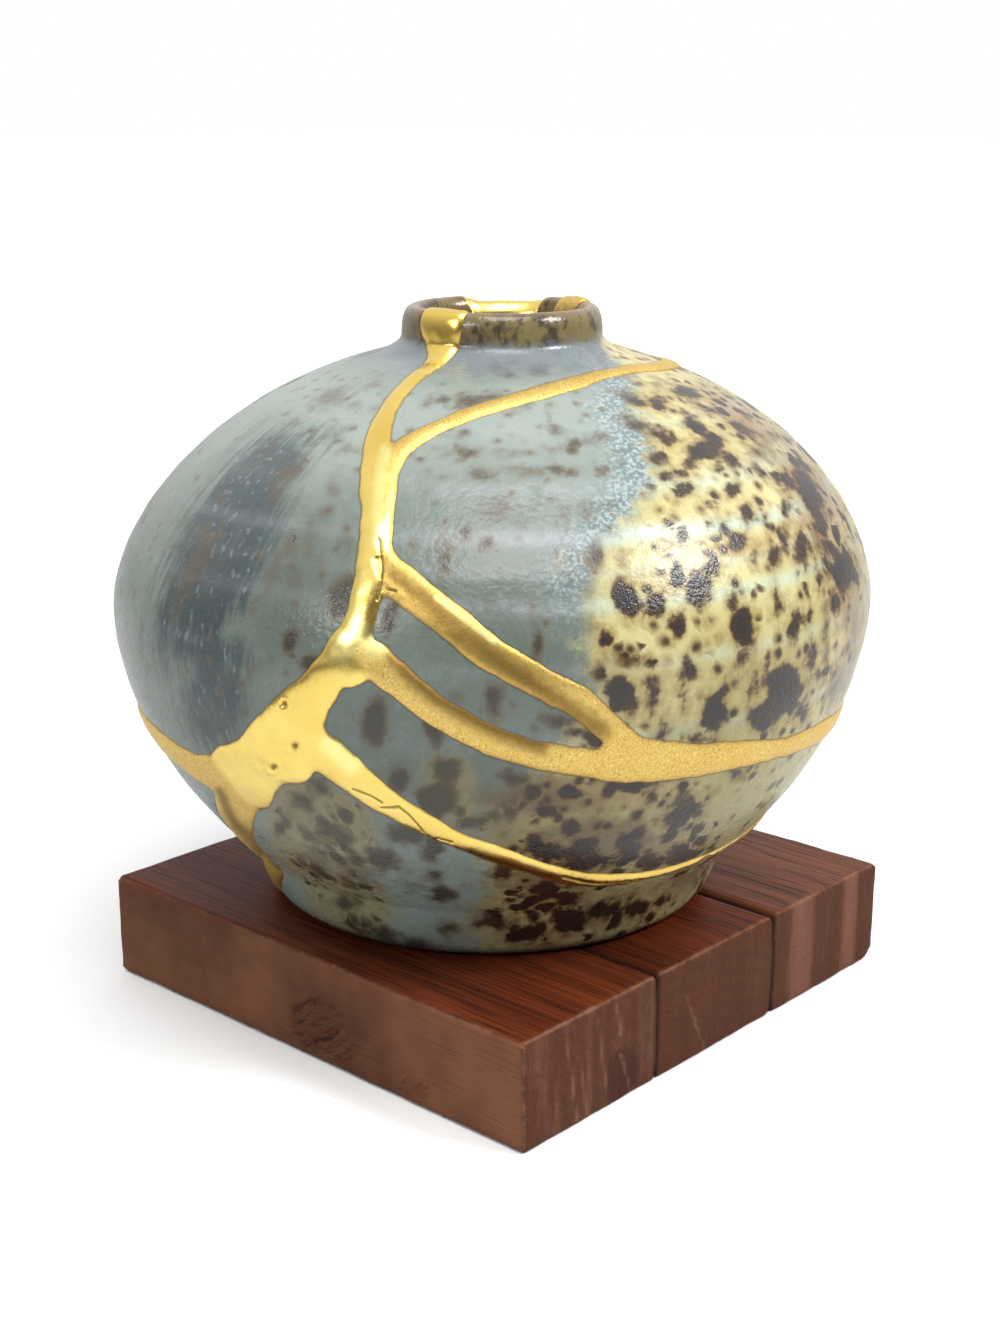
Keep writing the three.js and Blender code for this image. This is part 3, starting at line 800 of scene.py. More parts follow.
def whole_vase():
    """Outside of the whole vase as turned, its cells halved at the seams and cut along their edges."""
    bm = bmesh.new()
    line = [bm.verts.new((radius, 0, height)) for radius, height in outer_rows]
    edges = [bm.edges.new(pair) for pair in zip(line, line[1:])]
    bmesh.ops.spin(bm, geom=line + edges, cent=(0, 0, 0), axis=(0, 0, 1), angle=2 * math.pi,
                   steps=AROUND, use_merge=True, use_duplicate=False)
    bmesh.ops.remove_doubles(bm, verts=bm.verts, dist=1e-4)
    value = seam_depth(co_of(bm))[0]
    bm.verts.index_update()
    near = [
        edge for edge in bm.edges
        if max(value[edge.verts[0].index], value[edge.verts[1].index]) > CELLS_HALVED
        and edge.calc_length() > SHORTEST_HALVED
    ]
    bmesh.ops.subdivide_edges(bm, edges=near, cuts=1, use_grid_fill=True)
    depth = bm.verts.layers.float.new("depth")
    for vert, number in zip(bm.verts, seam_depth(co_of(bm))[0]):
        vert[depth] = number
    for level in CUT_LEVELS:
        cut_along(bm, depth, level)
    return bm, depth


def broken_into(bm, depth):
    """Number of the broken piece that each face is on, or 0 for gold."""
    bm.faces.index_update()
    bm.verts.index_update()
    signs = np.array([sum(vert[depth] for vert in face.verts) > 0 for face in bm.faces])
    owner = np.full(len(signs), -1)
    owner[signs] = 0
    count = 0
    bm.faces.ensure_lookup_table()
    for start in range(len(owner)):
        if owner[start] >= 0:
            continue
        count += 1
        owner[start] = count
        stack = [bm.faces[start]]
        members = [start]
        while stack:
            face = stack.pop()
            for edge in face.edges:
                for other in edge.link_faces:
                    if owner[other.index] < 0:
                        owner[other.index] = count
                        members.append(other.index)
                        stack.append(other)
        if len(members) < FEWEST_FACES:
            owner[members] = 0
            count -= 1
    return owner


turned_vase, depth_layer = whole_vase()
face_owner = broken_into(turned_vase, depth_layer)

PIECE_PLACES = {
    "shoulder_piece_left": (-70, 62.4),
    "neck_piece": (10, 98.8),
    "shoulder_piece_right": (60, 62.4),
    "sliver_piece": (-8, 59.3),
    "belly_piece": (20, 30.2),
    "foot_piece": (0, 8.3),
}
centres = np.array([face.calc_center_median() for face in turned_vase.faces])


def piece_number(bearing, height):
    target = on_turned(np.array([float(bearing)]), np.array([float(height)]))[0]
    return face_owner[((centres - target) ** 2).sum(1).argmin()]


def walled(number):
    """One broken piece or the gold, still as turned, with its inner wall, and which verts are inside."""
    bm = turned_vase.copy()
    bm.faces.ensure_lookup_table()
    others = [face for face in bm.faces if face_owner[face.index] != number]
    bmesh.ops.delete(bm, geom=others, context="FACES")
    inside = bm.verts.layers.int.new("inside")
    made = bmesh.ops.extrude_face_region(bm, geom=bm.faces[:], use_keep_orig=True)
    for vert in made["geom"]:
        if isinstance(vert, bmesh.types.BMVert):
            vert[inside] = 1
    crest = [vert for vert in bm.verts if vert.co.z > VASE_HEIGHT - 1e-4]
    bmesh.ops.remove_doubles(bm, verts=crest, dist=1e-5)
    return bm, inside


def smooth_but_for_breaks(bm, inside):
    """Smooth faces, with a sharp edge where the wall was broken, up to the lip's crest."""
    crest = (PLANK_THICKNESS + VASE_HEIGHT - 1) * MM
    for face in bm.faces:
        face.smooth = True
        kinds = {vert[inside] for vert in face.verts}
        if len(kinds) == 2 and min(vert.co.z for vert in face.verts) < crest:
            for edge in face.edges:
                edge.smooth = edge.verts[0][inside] != edge.verts[1][inside]


EASING_ROUNDS = 4


def finish_piece(bm, inside, outer_relief, inner_relief, name, eased=()):
    """Puts the walls of a piece in their places; gives the piece and its places as turned. Some verts
    are eased towards their neighbours, as lacquer draws itself smooth."""
    turned = co_of(bm)
    within = np.array([vert[inside] for vert in bm.verts]) > 0
    row = row_at(turned)
    bearing = bearing_of(turned)
    outer = on_rows(row, outer_rows) + on_rows(row, outer_normals) * outer_relief[:, None]
    inner = on_rows(row, inner_rows) + on_rows(row, inner_normals) * inner_relief[:, None]
    wall = np.where(within[:, None], inner, outer)
    places = stand_up(bearing, wall[:, 0], wall[:, 1])
    for vert, place in zip(bm.verts, places):
        vert.co = place
    for _ in range(EASING_ROUNDS if eased else 0):
        bmesh.ops.smooth_vert(bm, verts=eased, factor=0.5, use_axis_x=True, use_axis_y=True, use_axis_z=True)
    bmesh.ops.recalc_face_normals(bm, faces=bm.faces)
    smooth_but_for_breaks(bm, inside)
    return piece_from(bm, name), turned, within, bearing


# Blots of iron in the glaze, each an oval: column, row, width, height and, where it has one, tilt
DARK_BLOTS = (
    (494, 366, 7, 5), (505, 371, 9, 5), (517, 363, 8, 4), (541, 368, 10, 5), (590, 346, 9, 14, -40),
    (602, 359, 12, 7, -50), (471, 400, 26, 10, 3), (488, 397, 12, 5, 8), (446, 400, 8, 5),
    (427, 402, 6, 4), (465, 452, 13, 8), (574, 448, 7, 6), (558, 428, 9, 4, -15), (552, 470, 22, 6),
    (572, 471, 8, 6), (483, 475, 10, 5), (601, 472, 8, 5), (466, 535, 13, 13), (486, 542, 17, 12),
    (445, 560, 11, 32, 5), (594, 557, 11, 22, -10), (536, 644, 8, 28, 3), (493, 700, 17, 34, 8),
    (558, 720, 25, 14), (590, 738, 40, 12, -12), (627, 600, 24, 42, 15), (606, 640, 16, 18, 40),
    (654, 604, 23, 28), (676, 626, 14, 22, -10), (600, 674, 13, 20, 10), (620, 695, 31, 42),
    (653, 692, 11, 24, 5), (689, 669, 12, 22), (651, 663, 14, 12), (681, 697, 6, 14, 15),
    (664, 729, 8, 18, 5), (651, 712, 5, 10), (634, 397, 24, 10, -15), (659, 402, 24, 12, -15),
    (687, 392, 27, 11, -18), (636, 424, 26, 9, -22), (665, 435, 24, 13, -12), (662, 459, 16, 12, -15),
    (698, 429, 38, 13, -42), (714, 441, 20, 13, -30), (703, 453, 34, 17, -10), (690, 462, 14, 13),
    (681, 473, 7, 6), (687, 475, 6, 5), (718, 470, 9, 7, -20), (666, 477, 7, 5), (711, 409, 17, 6, -22),
    (744, 429, 30, 11, -32), (729, 461, 14, 6, -35), (683, 491, 15, 10), (707, 506, 8, 7),
    (733, 490, 13, 16), (746, 514, 15, 20, 20), (766, 516, 8, 14, 30), (784, 509, 7, 12, 20),
    (808, 490, 20, 50, 28), (819, 516, 15, 30, 15), (788, 481, 24, 16, -30), (679, 538, 12, 14),
    (722, 528, 10, 17, 15), (738, 542, 21, 20), (718, 538, 8, 8), (753, 558, 7, 13),
    (774, 557, 14, 20, 10), (783, 539, 10, 22, 18), (801, 547, 14, 33, 12), (713, 566, 16, 24),
    (699, 588, 22, 40, -10), (675, 577, 15, 28), (733, 602, 11, 20, 5), (742, 629, 21, 40, 3),
    (742, 660, 12, 22), (777, 605, 9, 28, 5), (796, 627, 12, 28, -8), (807, 614, 7, 9),
    (817, 580, 6, 20, 8), (827, 628, 6, 24), (836, 602, 11, 24, 8), (843, 572, 26, 42, 15),
    (832, 550, 10, 26, 25), (811, 664, 11, 30), (824, 673, 10, 16, -20), (785, 690, 38, 52, -8),
    (763, 718, 30, 28, -45), (768, 668, 7, 12), (714, 714, 28, 36), (725, 690, 9, 14, -20),
    (753, 690, 7, 22, -12), (698, 739, 18, 9), (803, 712, 8, 18, -15), (751, 468, 5, 7, 20),
    (761, 476, 5, 7, 20), (343, 597, 25, 42, -15), (291, 640, 12, 20, -10), (311, 664, 18, 18),
    (393, 614, 10, 26, -10), (375, 722, 26, 44, -5), (433, 728, 18, 34, 5), (446, 769, 28, 24),
    (438, 798, 38, 34, 15), (399, 778, 18, 20), (473, 822, 24, 10, 10), (548, 812, 19, 14),
    (570, 791, 22, 14), (571, 827, 22, 18), (629, 844, 26, 20), (582, 849, 36, 22, 5), (548, 849, 42, 18),
    (588, 862, 60, 13, 8), (683, 812, 40, 26, 25), (683, 856, 36, 20, 20), (649, 862, 20, 18, 30),
    (669, 835, 14, 9, 30), (737, 774, 14, 13, 20), (636, 785, 42, 13, 5), (514, 778, 20, 11),
    (686, 788, 9, 14, -10), (303, 801, 20, 15), (328, 832, 23, 18), (284, 825, 13, 18, -20),
    (320, 785, 16, 13), (345, 838, 15, 12, -20), (409, 835, 36, 20, -15), (433, 845, 20, 26, -20),
    (382, 859, 32, 22, -20), (347, 903, 21, 12, -10), (443, 893, 20, 15, -15), (434, 874, 10, 6),
    (492, 920, 36, 15), (450, 926, 15, 8, -20), (524, 933, 34, 21, 5), (568, 920, 40, 24, 5),
    (600, 909, 24, 17, 10), (636, 908, 23, 15, 15), (548, 942, 11, 8), (568, 899, 26, 13, 10),
    (548, 889, 22, 18), (517, 891, 10, 7), (500, 872, 20, 12), (661, 901, 18, 10, 25),
    (379, 934, 46, 12, -14), (419, 944, 30, 9, -8),
)
SOFT_BLOTS = (
    (496, 511, 30, 26), (536, 496, 12, 16), (562, 518, 11, 16), (588, 514, 19, 18), (615, 505, 9, 10),
    (597, 438, 18, 9, -8), (549, 410, 7, 8), (529, 405, 13, 6, 8), (440, 475, 12, 8), (426, 471, 8, 5),
    (518, 472, 14, 7), (465, 436, 10, 5), (424, 494, 9, 8), (522, 525, 10, 8), (621, 554, 12, 14),
    (587, 587, 12, 18), (488, 600, 9, 11), (588, 626, 9, 14), (460, 700, 14, 12), (625, 657, 34, 22, -10),
    (334, 397, 42, 13, 24), (374, 384, 17, 8, 15), (371, 408, 10, 5, 10), (357, 406, 6, 4),
    (387, 399, 8, 6, 10), (295, 422, 10, 6, 20), (343, 450, 9, 6, 30), (347, 426, 12, 5, 20),
    (286, 474, 30, 24, 40), (276, 492, 14, 22, -30), (332, 489, 9, 20, -25), (323, 513, 14, 14, -20),
    (291, 549, 21, 26), (275, 570, 11, 42, -24), (295, 575, 12, 26, 5), (256, 601, 9, 13, -30),
    (312, 531, 9, 30, -5), (307, 551, 10, 24), (320, 562, 8, 24, -5), (347, 542, 9, 24, -5),
    (228, 746, 15, 20), (249, 674, 8, 18), (198, 565, 24, 92, -24), (761, 451, 34, 17, -35),
    (631, 375, 26, 8, -12), (660, 382, 22, 8, -18), (776, 440, 26, 14, -38), (820, 545, 16, 60, 15),
    (852, 640, 12, 60, -4), (833, 690, 16, 40, -18), (466, 452, 100, 4), (355, 872, 60, 26, -30),
    (320, 860, 50, 22, -30), (412, 884, 26, 12, -20), (540, 798, 120, 40), (600, 840, 140, 50),
    (540, 880, 120, 34), (690, 880, 60, 24, 25), (610, 912, 110, 28, 10),
)
PINHOLE = ((292, 539, 5.5, 5.5, 0),)
OLIVE_EDGE = (
    (100, 73.6), (95.7, 59), (91.3, 36.4), (81.8, 27.2), (77.1, 20.3), (72.2, 14.6), (61.6, 12.3),
    (52.8, 13.9), (46.7, 9), (36.3, 4.1), (26.2, 1.4), (14.7, -0.3), (0, -2),
)
OLIVE_BACK = 148.0
MM_PER_PIXEL = 0.173
CROOKED = 0.75 / MM_PER_PIXEL
DEEP = 8
NAVY_MARKS = (
    (222, 548, 96, 260, -27), (205, 652, 120, 46, -12), (272, 462, 90, 60, 35), (305, 440, 70, 26, 15),
    (215, 700, 70, 110, -8),
)
MOTTLED = (
    (322, 836, 118, 100, -38), (352, 905, 90, 60, -24), (600, 832, 250, 118, -4), (578, 908, 230, 76, 8),
    (838, 560, 40, 190, 14), (800, 470, 60, 70, 30), (730, 400, 90, 44, -30), (625, 665, 60, 30, 0),
    (452, 790, 50, 70, 20),
)
# Veil at the right rim: mottled brown glaze with a painted pale sheen over it
VEIL_AND_SHEEN = (
    (745, 418, 120, 44, -30), (812, 492, 56, 120, 30), (852, 590, 40, 160, 6), (846, 680, 36, 90, -18),
)
# Painted shade: ovals over the middle of the front and at the left, where the glaze is darkened
PAINTED_SHADE_OVALS = ((500, 610, 210, 220, 20), (300, 600, 120, 120, 0))


def glaze_marks(piece, turned, within, bearing):
    """Writes where the glaze changes colour, has its blots and has painted shade and sheen, in millimetres
    inside each mark.
    """
    row = row_at(turned)
    radius, height = on_rows(row, outer_rows).T
    slope = on_rows(row, outer_normals)
    angle = FRONT + np.radians(bearing)
    normal = np.column_stack([slope[:, 0] * np.cos(angle), slope[:, 0] * np.sin(angle), slope[:, 1]])
    places = stand_up(bearing, radius, height)
    to_camera = np.array(CAMERA_AT) - places
    facing = (normal * to_camera).sum(1) / np.linalg.norm(to_camera, axis=1)
    column, row = photo_pixels(places)
    pixels = (
        column + CROOKED * (wandering(turned, 0.33, 20) + 0.6 * wandering(turned, 0.8, 21)),
        row + CROOKED * (wandering(turned, 0.3, 22) + 0.6 * wandering(turned, 0.8, 23)),
    )
    shown = smooth(facing, 0.0, 0.12)
    marks_of = {"blot": DARK_BLOTS, "stain": SOFT_BLOTS, "navy": NAVY_MARKS, "mottled": MOTTLED,
                "veil_sheen": VEIL_AND_SHEEN, "painted_shade": PAINTED_SHADE_OVALS, "pinhole": PINHOLE}
    attributes_on(piece, {
        name: (np.clip(spots(pixels, marks) * MM_PER_PIXEL, -DEEP, DEEP) + DEEP) * shown - DEEP
        for name, marks in marks_of.items()
    })
    edge_height, edge_bearing = np.array(OLIVE_EDGE[::-1]).T
    front_edge = np.interp(height, edge_height, edge_bearing)
    arc = np.radians(np.minimum(bearing - front_edge, OLIVE_BACK - bearing)) * np.maximum(radius, 12)
    ringed = smooth(bearing, -22, -4) * (1 - smooth(bearing, 110, 150))
    attributes_on(piece, {
        "olive": np.clip(arc, -30, 30),
        "wild": 1 - smooth(facing, 0.05, 0.42),
        "ringed": 0.35 + 0.65 * ringed,
        "height": height,
        "within": within,
        "seam": np.clip(seam_depth(turned)[0], -6, 6),
    })


# Rings in the glaze: height, half width and strength
# The pale rings are thin glaze on the throwing ridges; the strongest, at 75.2 mm, is partly a painted
# highlight.
PALE_RINGS = (
    (88.6, 0.8, 0.2), (81.2, 1.3, 0.3), (75.2, 1, 0.6), (70.6, 0.8, 0.2), (66.5, 1.1, 0.35),
    (57.6, 1.2, 0.2), (46, 1.5, 0.2),
)
BROWN_LINES = ((91.0, 0.35, 1.0), (86.4, 0.3, 1.0), (83.6, 0.7, 1.0), (72.4, 1.6, 1.0))


def rings_at(level, rings):
    """Soft rings round the vase, added up."""
    total = 0.0
    for at, width, strength in rings:
        away = (level - at) / width
        total = total + (-(away * away)).math("EXPONENT") * strength
    return total


def glaze():
    """Satin glaze: blue-grey and olive with iron blots, flow streaks, pale rings and a brown lip, with
    painted shade and sheen.
    """
    paint = Paint("satin_glaze")
    mix, step, clouds, moved, marked = paint.mix, paint.step, paint.clouds, paint.moved, paint.attribute
    split = paint.vector("MULTIPLY", paint.place, (1, 1, 0))
    out = paint.vector("NORMALIZE", split)
    round_it = paint.vector("MULTIPLY", out, (0.06, 0.06, 0.0))
    rise = paint.vector("MULTIPLY", paint.place, (0, 0, 0.16))
    flow = paint.vector("ADD", round_it, rise)
    height = marked("height")
    olive_in = marked("olive")
    wild = marked("wild")
    blot_in = marked("blot")
    within = marked("within")
    slow = clouds(45, 3, 0.5)
    mottle = clouds(420, 4, 0.62)
    grain = clouds(1900, 3, 0.6)
    streak = clouds(430, 4, 0.6, flow)
    fine_streak = clouds(1400, 3, 0.6, flow)

    blue = mix(step(slow + mottle * 0.4, -0.9, 1.1), (106, 118, 110), (128, 139, 129))
    blue = mix(step(mottle + grain * 0.5, 0.2, 1.6) * 0.35, blue, (158, 170, 164))
    blue = mix(step(grain - mottle * 0.3, 0.4, 1.5) * 0.35, blue, (78, 91, 86))
    high_up = step(height + slow * 2, 73, 90) * (1 - step(height, 91, 96) * 0.8)
    blue = mix(high_up * 0.5, blue, (168, 178, 171))
    low_down = 1 - step(height, 15, 42)
    blue = mix(low_down * 0.7, blue, (146, 164, 160))
    # Painted shade over the middle of the front and at the left.
    painted_shade = step(marked("painted_shade") + slow * 2 + mottle, -6, 7)
    blue = mix(painted_shade * 0.45, blue, (74, 84, 76))
    in_shade = marked("navy")
    shaded = step(in_shade + streak * 1.6 + fine_streak * 1.3 + mottle * 0.5, -1.6, 3.0)
    blue = mix(shaded * 0.84, blue, (50, 64, 70))
    flecks = step(clouds(900, 2, 0.5, moved((1, 1, 0.5))), 0.35, 0.9) * step(in_shade, -2, 2)
    blue = mix(flecks * 0.55, blue, (132, 148, 154))

    olive = mix(step(slow + streak * 0.5, -1.0, 1.2), (176, 165, 106), (206, 198, 144))
    olive = mix(step(mottle + fine_streak * 0.4, 0.3, 1.7) * 0.45, olive, (204, 208, 166))
    freckle = step(fine_streak * 0.5 + mottle * 0.5 - grain * 0.5, 0.15, 1.2)
    olive = mix(freckle * 0.62, olive, (134, 104, 60))
    olive = mix(low_down * 0.5, olive, (168, 174, 138))
    to_olive = step(olive_in + mottle * 2.2 + streak * 1.2 + slow * 1.5, -3.0, 3.4)
    fringe_in = step(olive_in + mottle * 3, -12, -3) * (1 - to_olive) * step(height, 60, 74)
    crystal = step(clouds(1500, 2, 0.5, moved((1, 1, 1.3))), -0.3, 0.6)
    fringe = mix(crystal, (92, 112, 124), (176, 192, 188))
    shade = mix(fringe_in * 0.7, blue, fringe)
    shade = mix(to_olive, shade, olive)

    level = height + slow * 0.5
    # Pale rings: thin glaze on the throwing ridges, partly a painted highlight.
    rings = rings_at(level, PALE_RINGS)
    ringed = marked("ringed")
    pale = mix(to_olive, (166, 172, 178), (186, 208, 190))
    shade = mix(rings * (0.9 + to_olive * 1.1) * step(mottle, -1.6, 0.6) * ringed, shade, pale)
    lines = rings_at(level, BROWN_LINES)
    brownish = lines * step(mottle + slow, -0.4, 1.2) * ringed * 0.6
    shade = mix(brownish, shade, mix(to_olive, (128, 120, 92), (160, 132, 76)))

    mottled = step(marked("mottled") + mottle * 1.2 + streak * 0.6, -2.0, 1.6)
    ground = mix(to_olive * 0.5, (152, 138, 94), (164, 152, 100))
    shade = mix(mottled * (0.75 - to_olive * 0.3), shade, ground)

    # Veil at the right rim: mottled brown glaze, partly a painted pale sheen.
    veil_sheen = step(marked("veil_sheen") + mottle * 1.5 + streak, -2.0, 3.0)
    veil_sheen_colours = mix(step(mottle + grain * 0.5, -0.7, 0.9), (116, 94, 76), (172, 156, 138))
    shade = mix(veil_sheen * 0.65, shade, veil_sheen_colours)

    rough_edge = clouds(210, 3, 0.6) * 0.4
    edge = mottle * 0.38 + grain * 0.12 + rough_edge
    stain = step(marked("stain") + edge * 1.9, -1.3, 1.8)
    shade = mix(stain * 0.72, shade, (92, 80, 64))
    right_side = step(olive_in, -4, 6)
    upright = moved((1, 1, 0.6), place=paint.pushed(0.0022, 260))
    crowd = paint.drops(3.2, 0.1, 1.9, upright) - (1 - mottled) * 6
    big = paint.drops(9, -4.4, 3.2, upright) + right_side * 0.5 + rough_edge - (1 - wild) * 8
    middling = paint.drops(4.6, -1.5, 1.9, upright) + right_side * 0.35 - (1 - wild) * 6
    speck = paint.drops(2.5, -1.3, 0.75, paint.pushed(0.0009, 600)) + right_side * 0.75 - 0.6
    drawn = blot_in + edge
    dark_in = drawn.math("MAXIMUM", crowd + edge * 0.4).math("MAXIMUM", big + edge).math("MAXIMUM", middling)
    dark_in = dark_in.math("MAXIMUM", speck)
    halo = step(dark_in + mottle * 0.3, -1.6, 0.4)
    shade = mix(halo * 0.62, shade, mix(to_olive, (108, 98, 74), (128, 94, 50)))
    dark = step(dark_in, -0.45 - (1 - to_olive) * 0.45, 0.4 + (1 - to_olive) * 0.35)
    iron = mix(step(dark_in + mottle * 0.5, 0.0, 1.3), (62, 46, 34), (42, 41, 43))
    iron = mix(step(grain, 0.5, 1.7) * 0.4, iron, (88, 80, 74))
    iron = mix((1 - step(height, 10, 34)) * 0.8, iron, (30, 22, 17))
    shade = mix(dark * (0.75 + to_olive * 0.22), shade, iron)

    lip_edge = height + mottle * 0.5 + rough_edge * 1.4 + step(olive_in, -6, 4) * -1.0
    lip = step(lip_edge, 97.6, 99.8)
    patches = step(clouds(480, 3, 0.6, moved((1, 1, 0.7))) + clouds(150, 2) * 0.6, -0.2, 0.6)
    lip_shade = mix(step(slow + mottle * 0.4, -0.8, 0.8), (112, 88, 62), (122, 112, 66))
    lip_shade = mix(patches * 0.85, lip_shade, (50, 36, 26))
    lip_shade = mix(step(height, 103.0, 104.2) * 0.6, lip_shade, (128, 98, 80))
    # Lavender-grey glaze at the neck's root, darkened as painted shade under the lip.
    shade = mix(step(height, 93.5, 97) * (1 - right_side) * 0.75, shade, (112, 121, 130))
    shade = mix(lip * 0.93, shade, lip_shade)
    # Painted shade: the glaze darkened at the foot, where it meets the stand.
    shade = mix((1 - step(height + mottle * 0.4, 0.6, 2.6)) * 0.75, shade, (40, 44, 42))
    hole = step(marked("pinhole"), -0.2, 0.3)
    shade = mix(hole, shade, (20, 16, 14))
    # Painted shadow: a thin dark line on the glaze along the edge of the raised gold.
    line = step(marked("seam"), -0.3, 0.0)
    shade = mix(line * 0.6, shade, (60, 46, 32))
    throat = mix(step(height + mottle, 92, 99), (70, 72, 68), lip_shade)
    shade = mix(within * step(height, 103.9, 103.0), shade, throat)
    peel = clouds(1000, 2, 0.4)
    skin = peel * 0.5 + grain * 0.2 + mottle * 0.2 + dark * clouds(2600, 2) * 0.5 - hole * 6
    paint.surface(
        Base_Color=shade,
        Roughness=0.26 + mottle * 0.035 + grain * 0.03 - dark * 0.03 - lip * 0.08,
        Normal=paint.bump(skin, 0.00004),
        Specular_IOR_Level=0.5,
    )
    return paint.material


glaze_material = glaze()
for name, (bearing, height) in PIECE_PLACES.items():
    number = piece_number(bearing, height)
    bm, inside = walled(number)
    turned = co_of(bm)
    relief = thrown_relief(turned)
    crest_keep = smooth(turned[:, 2], VASE_HEIGHT - LIP_DEPTH, VASE_HEIGHT)
    piece, turned, within, bearings = finish_piece(bm, inside, relief, relief * crest_keep, "glazed_" + name)
    glaze_marks(piece, turned, within, bearings)
    piece.data.materials.append(glaze_material)
    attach(piece, "root")
    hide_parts(name)


# Gold seams
# The broken pieces were glued and their cracks filled with lacquer, which stands proud of the glaze and
# was dusted and brushed with gold. It runs right through the wall, from the lip to under the foot.
BEAD = 0.4
BEAD_EDGE = 1.25
GLOSSY_SEAMS = ("mouth", "trunk", "lower_trunk", "lower_right", "patch", "back")
# Marks on the gold: pits by column, row and size, cracks as broken lines, strokes with a half width
PITS = ((296, 745, 6.5), (275, 766, 5.5), (285, 703, 5.0))
CRACKS = (
    ((380, 541), (381, 552), (383, 566), (382, 580)),
    ((382, 583), (378, 600)),
    ((392, 543), (396, 548)),
    ((388, 590), (396, 592)),
    ((354, 788), (371, 794), (383, 801)),
    ((382, 806), (399, 805), (409, 812), (418, 822), (424, 831)),
    ((438, 837), (452, 840)),
    ((563, 874), (582, 879), (598, 881), (625, 881), (647, 877), (670, 872), (690, 865), (709, 855)),
)
# Painted shade on the gold: broken lines, each with a half width
SHADE_ON_GOLD = (
    (((392, 578), (408, 590), (430, 606), (457, 633), (491, 657), (528, 681), (566, 706), (600, 730)), 19),
    (((394, 652), (408, 672), (434, 696), (464, 714), (500, 732), (540, 746)), 15),
    (((376, 594), (370, 616)), 13),
    (((470, 848), (530, 868), (590, 880)), 6),
    (((222, 790), (238, 822), (262, 850)), 9),
)
# Painted highlights on the gold: broken lines, each with a half width
GLINTS_ON_GOLD = (
    (((344, 652), (360, 632), (376, 650)), 13),
    (((386, 452), (381, 480), (378, 512), (378, 545)), 8),
    (((437, 598), (462, 618), (494, 642)), 4),
    (((330, 742), (352, 764)), 12),
)
CROWN = 0.16
TROUGH = 0.42
HOLLOW = 0.2
LUMPS = (0.14, 0.07)
PIT_DEPTH = 0.34
PIT_RIM = 0.1
CRACK_DEPTH = 0.24
CRACK_WIDTH = 1.4
BACK_SAG = 0.5
SHAPE_ROUNDS = 14
BRIGHT_ROUNDS = 40
INSIDE_SHARE = 0.2
FINE_REACH = (14, 8)
HIDDEN_PAST = 100
OFF_PHOTO = -900


def front_pixels(turned):
    """Photo pixels of places on the turned outside; those at the back are far off the photograph."""
    bearing = bearing_of(turned)
    radius, height = on_rows(row_at(turned), outer_rows).T
    column, row = photo_pixels(stand_up(bearing, radius, height))
    hidden = np.abs(bearing) > HIDDEN_PAST
    return np.where(hidden, OFF_PHOTO, column), np.where(hidden, OFF_PHOTO, row)


def evened(bm, values, rounds):
    """Values at the verts, each drawn towards those of its neighbours."""
    bm.verts.index_update()
    pairs = np.array([(edge.verts[0].index, edge.verts[1].index) for edge in bm.edges])
    total = len(values)
    neighbours = np.bincount(pairs.ravel(), minlength=total)
    for _ in range(rounds):
        beside = np.bincount(pairs[:, 0], values[pairs[:, 1]], total)
        beside += np.bincount(pairs[:, 1], values[pairs[:, 0]], total)
        values = (values + beside / neighbours) / 2
    return values


def drawn_on_gold(pixels, strokes):
    """One on the middle of the strokes, zero at their half width in pixels and below that outside."""
    return np.max([1 - line_apart(pixels, (line,)) / half_width for line, half_width in strokes], axis=0)


def gold_relief(bm):
    """Height of the gold above the glaze, and how deep it is pitted or cracked, in millimetres."""
    turned = co_of(bm)
    depth, half, owner = seam_depth(turned)
    names = np.array([name for name, _, _ in seam_runs])[owner]
    share = np.clip(depth / BEAD_EDGE, 0, 1)
    bead = BEAD * share * (2 - share)
    middle = np.clip(depth / np.maximum(half, 0.5), 0, 1)
    crown = CROWN * smooth(middle, 0.2, 1.0) * (half < 5)
    trough = -TROUGH * smooth(middle, 0.35, 0.85) * (names == "sliver_top")
    hollow = -HOLLOW * smooth(middle, 0.45, 0.9) * (names == "sliver_bottom")
    lumps = LUMPS[0] * wandering(turned, 0.16, 7) + LUMPS[1] * wandering(turned, 0.55, 8)
    pixels = front_pixels(turned)
    pitted = np.zeros(len(turned))
    for column, row, size in PITS:
        away = np.hypot(pixels[0] - column, (pixels[1] - row) * 1.05) / size
        pitted += PIT_DEPTH * np.exp(-((away * 1.5) ** 2)) - PIT_RIM * np.exp(-(((away - 1.15) * 3.2) ** 2))
    split = CRACK_DEPTH * np.exp(-((line_apart(pixels, CRACKS) / CRACK_WIDTH) ** 2))
    inner = smooth(depth, 0.0, 0.8)
    lumps -= BACK_SAG * (names == "back") * smooth(turned[:, 2], 99, 103)
    bright = evened(bm, np.isin(names, GLOSSY_SEAMS).astype(float), BRIGHT_ROUNDS)
    shaped = evened(bm, crown + trough + hollow, SHAPE_ROUNDS)
    height = bead + (shaped + lumps - pitted - split) * inner
    return height, pitted, split, depth, bright


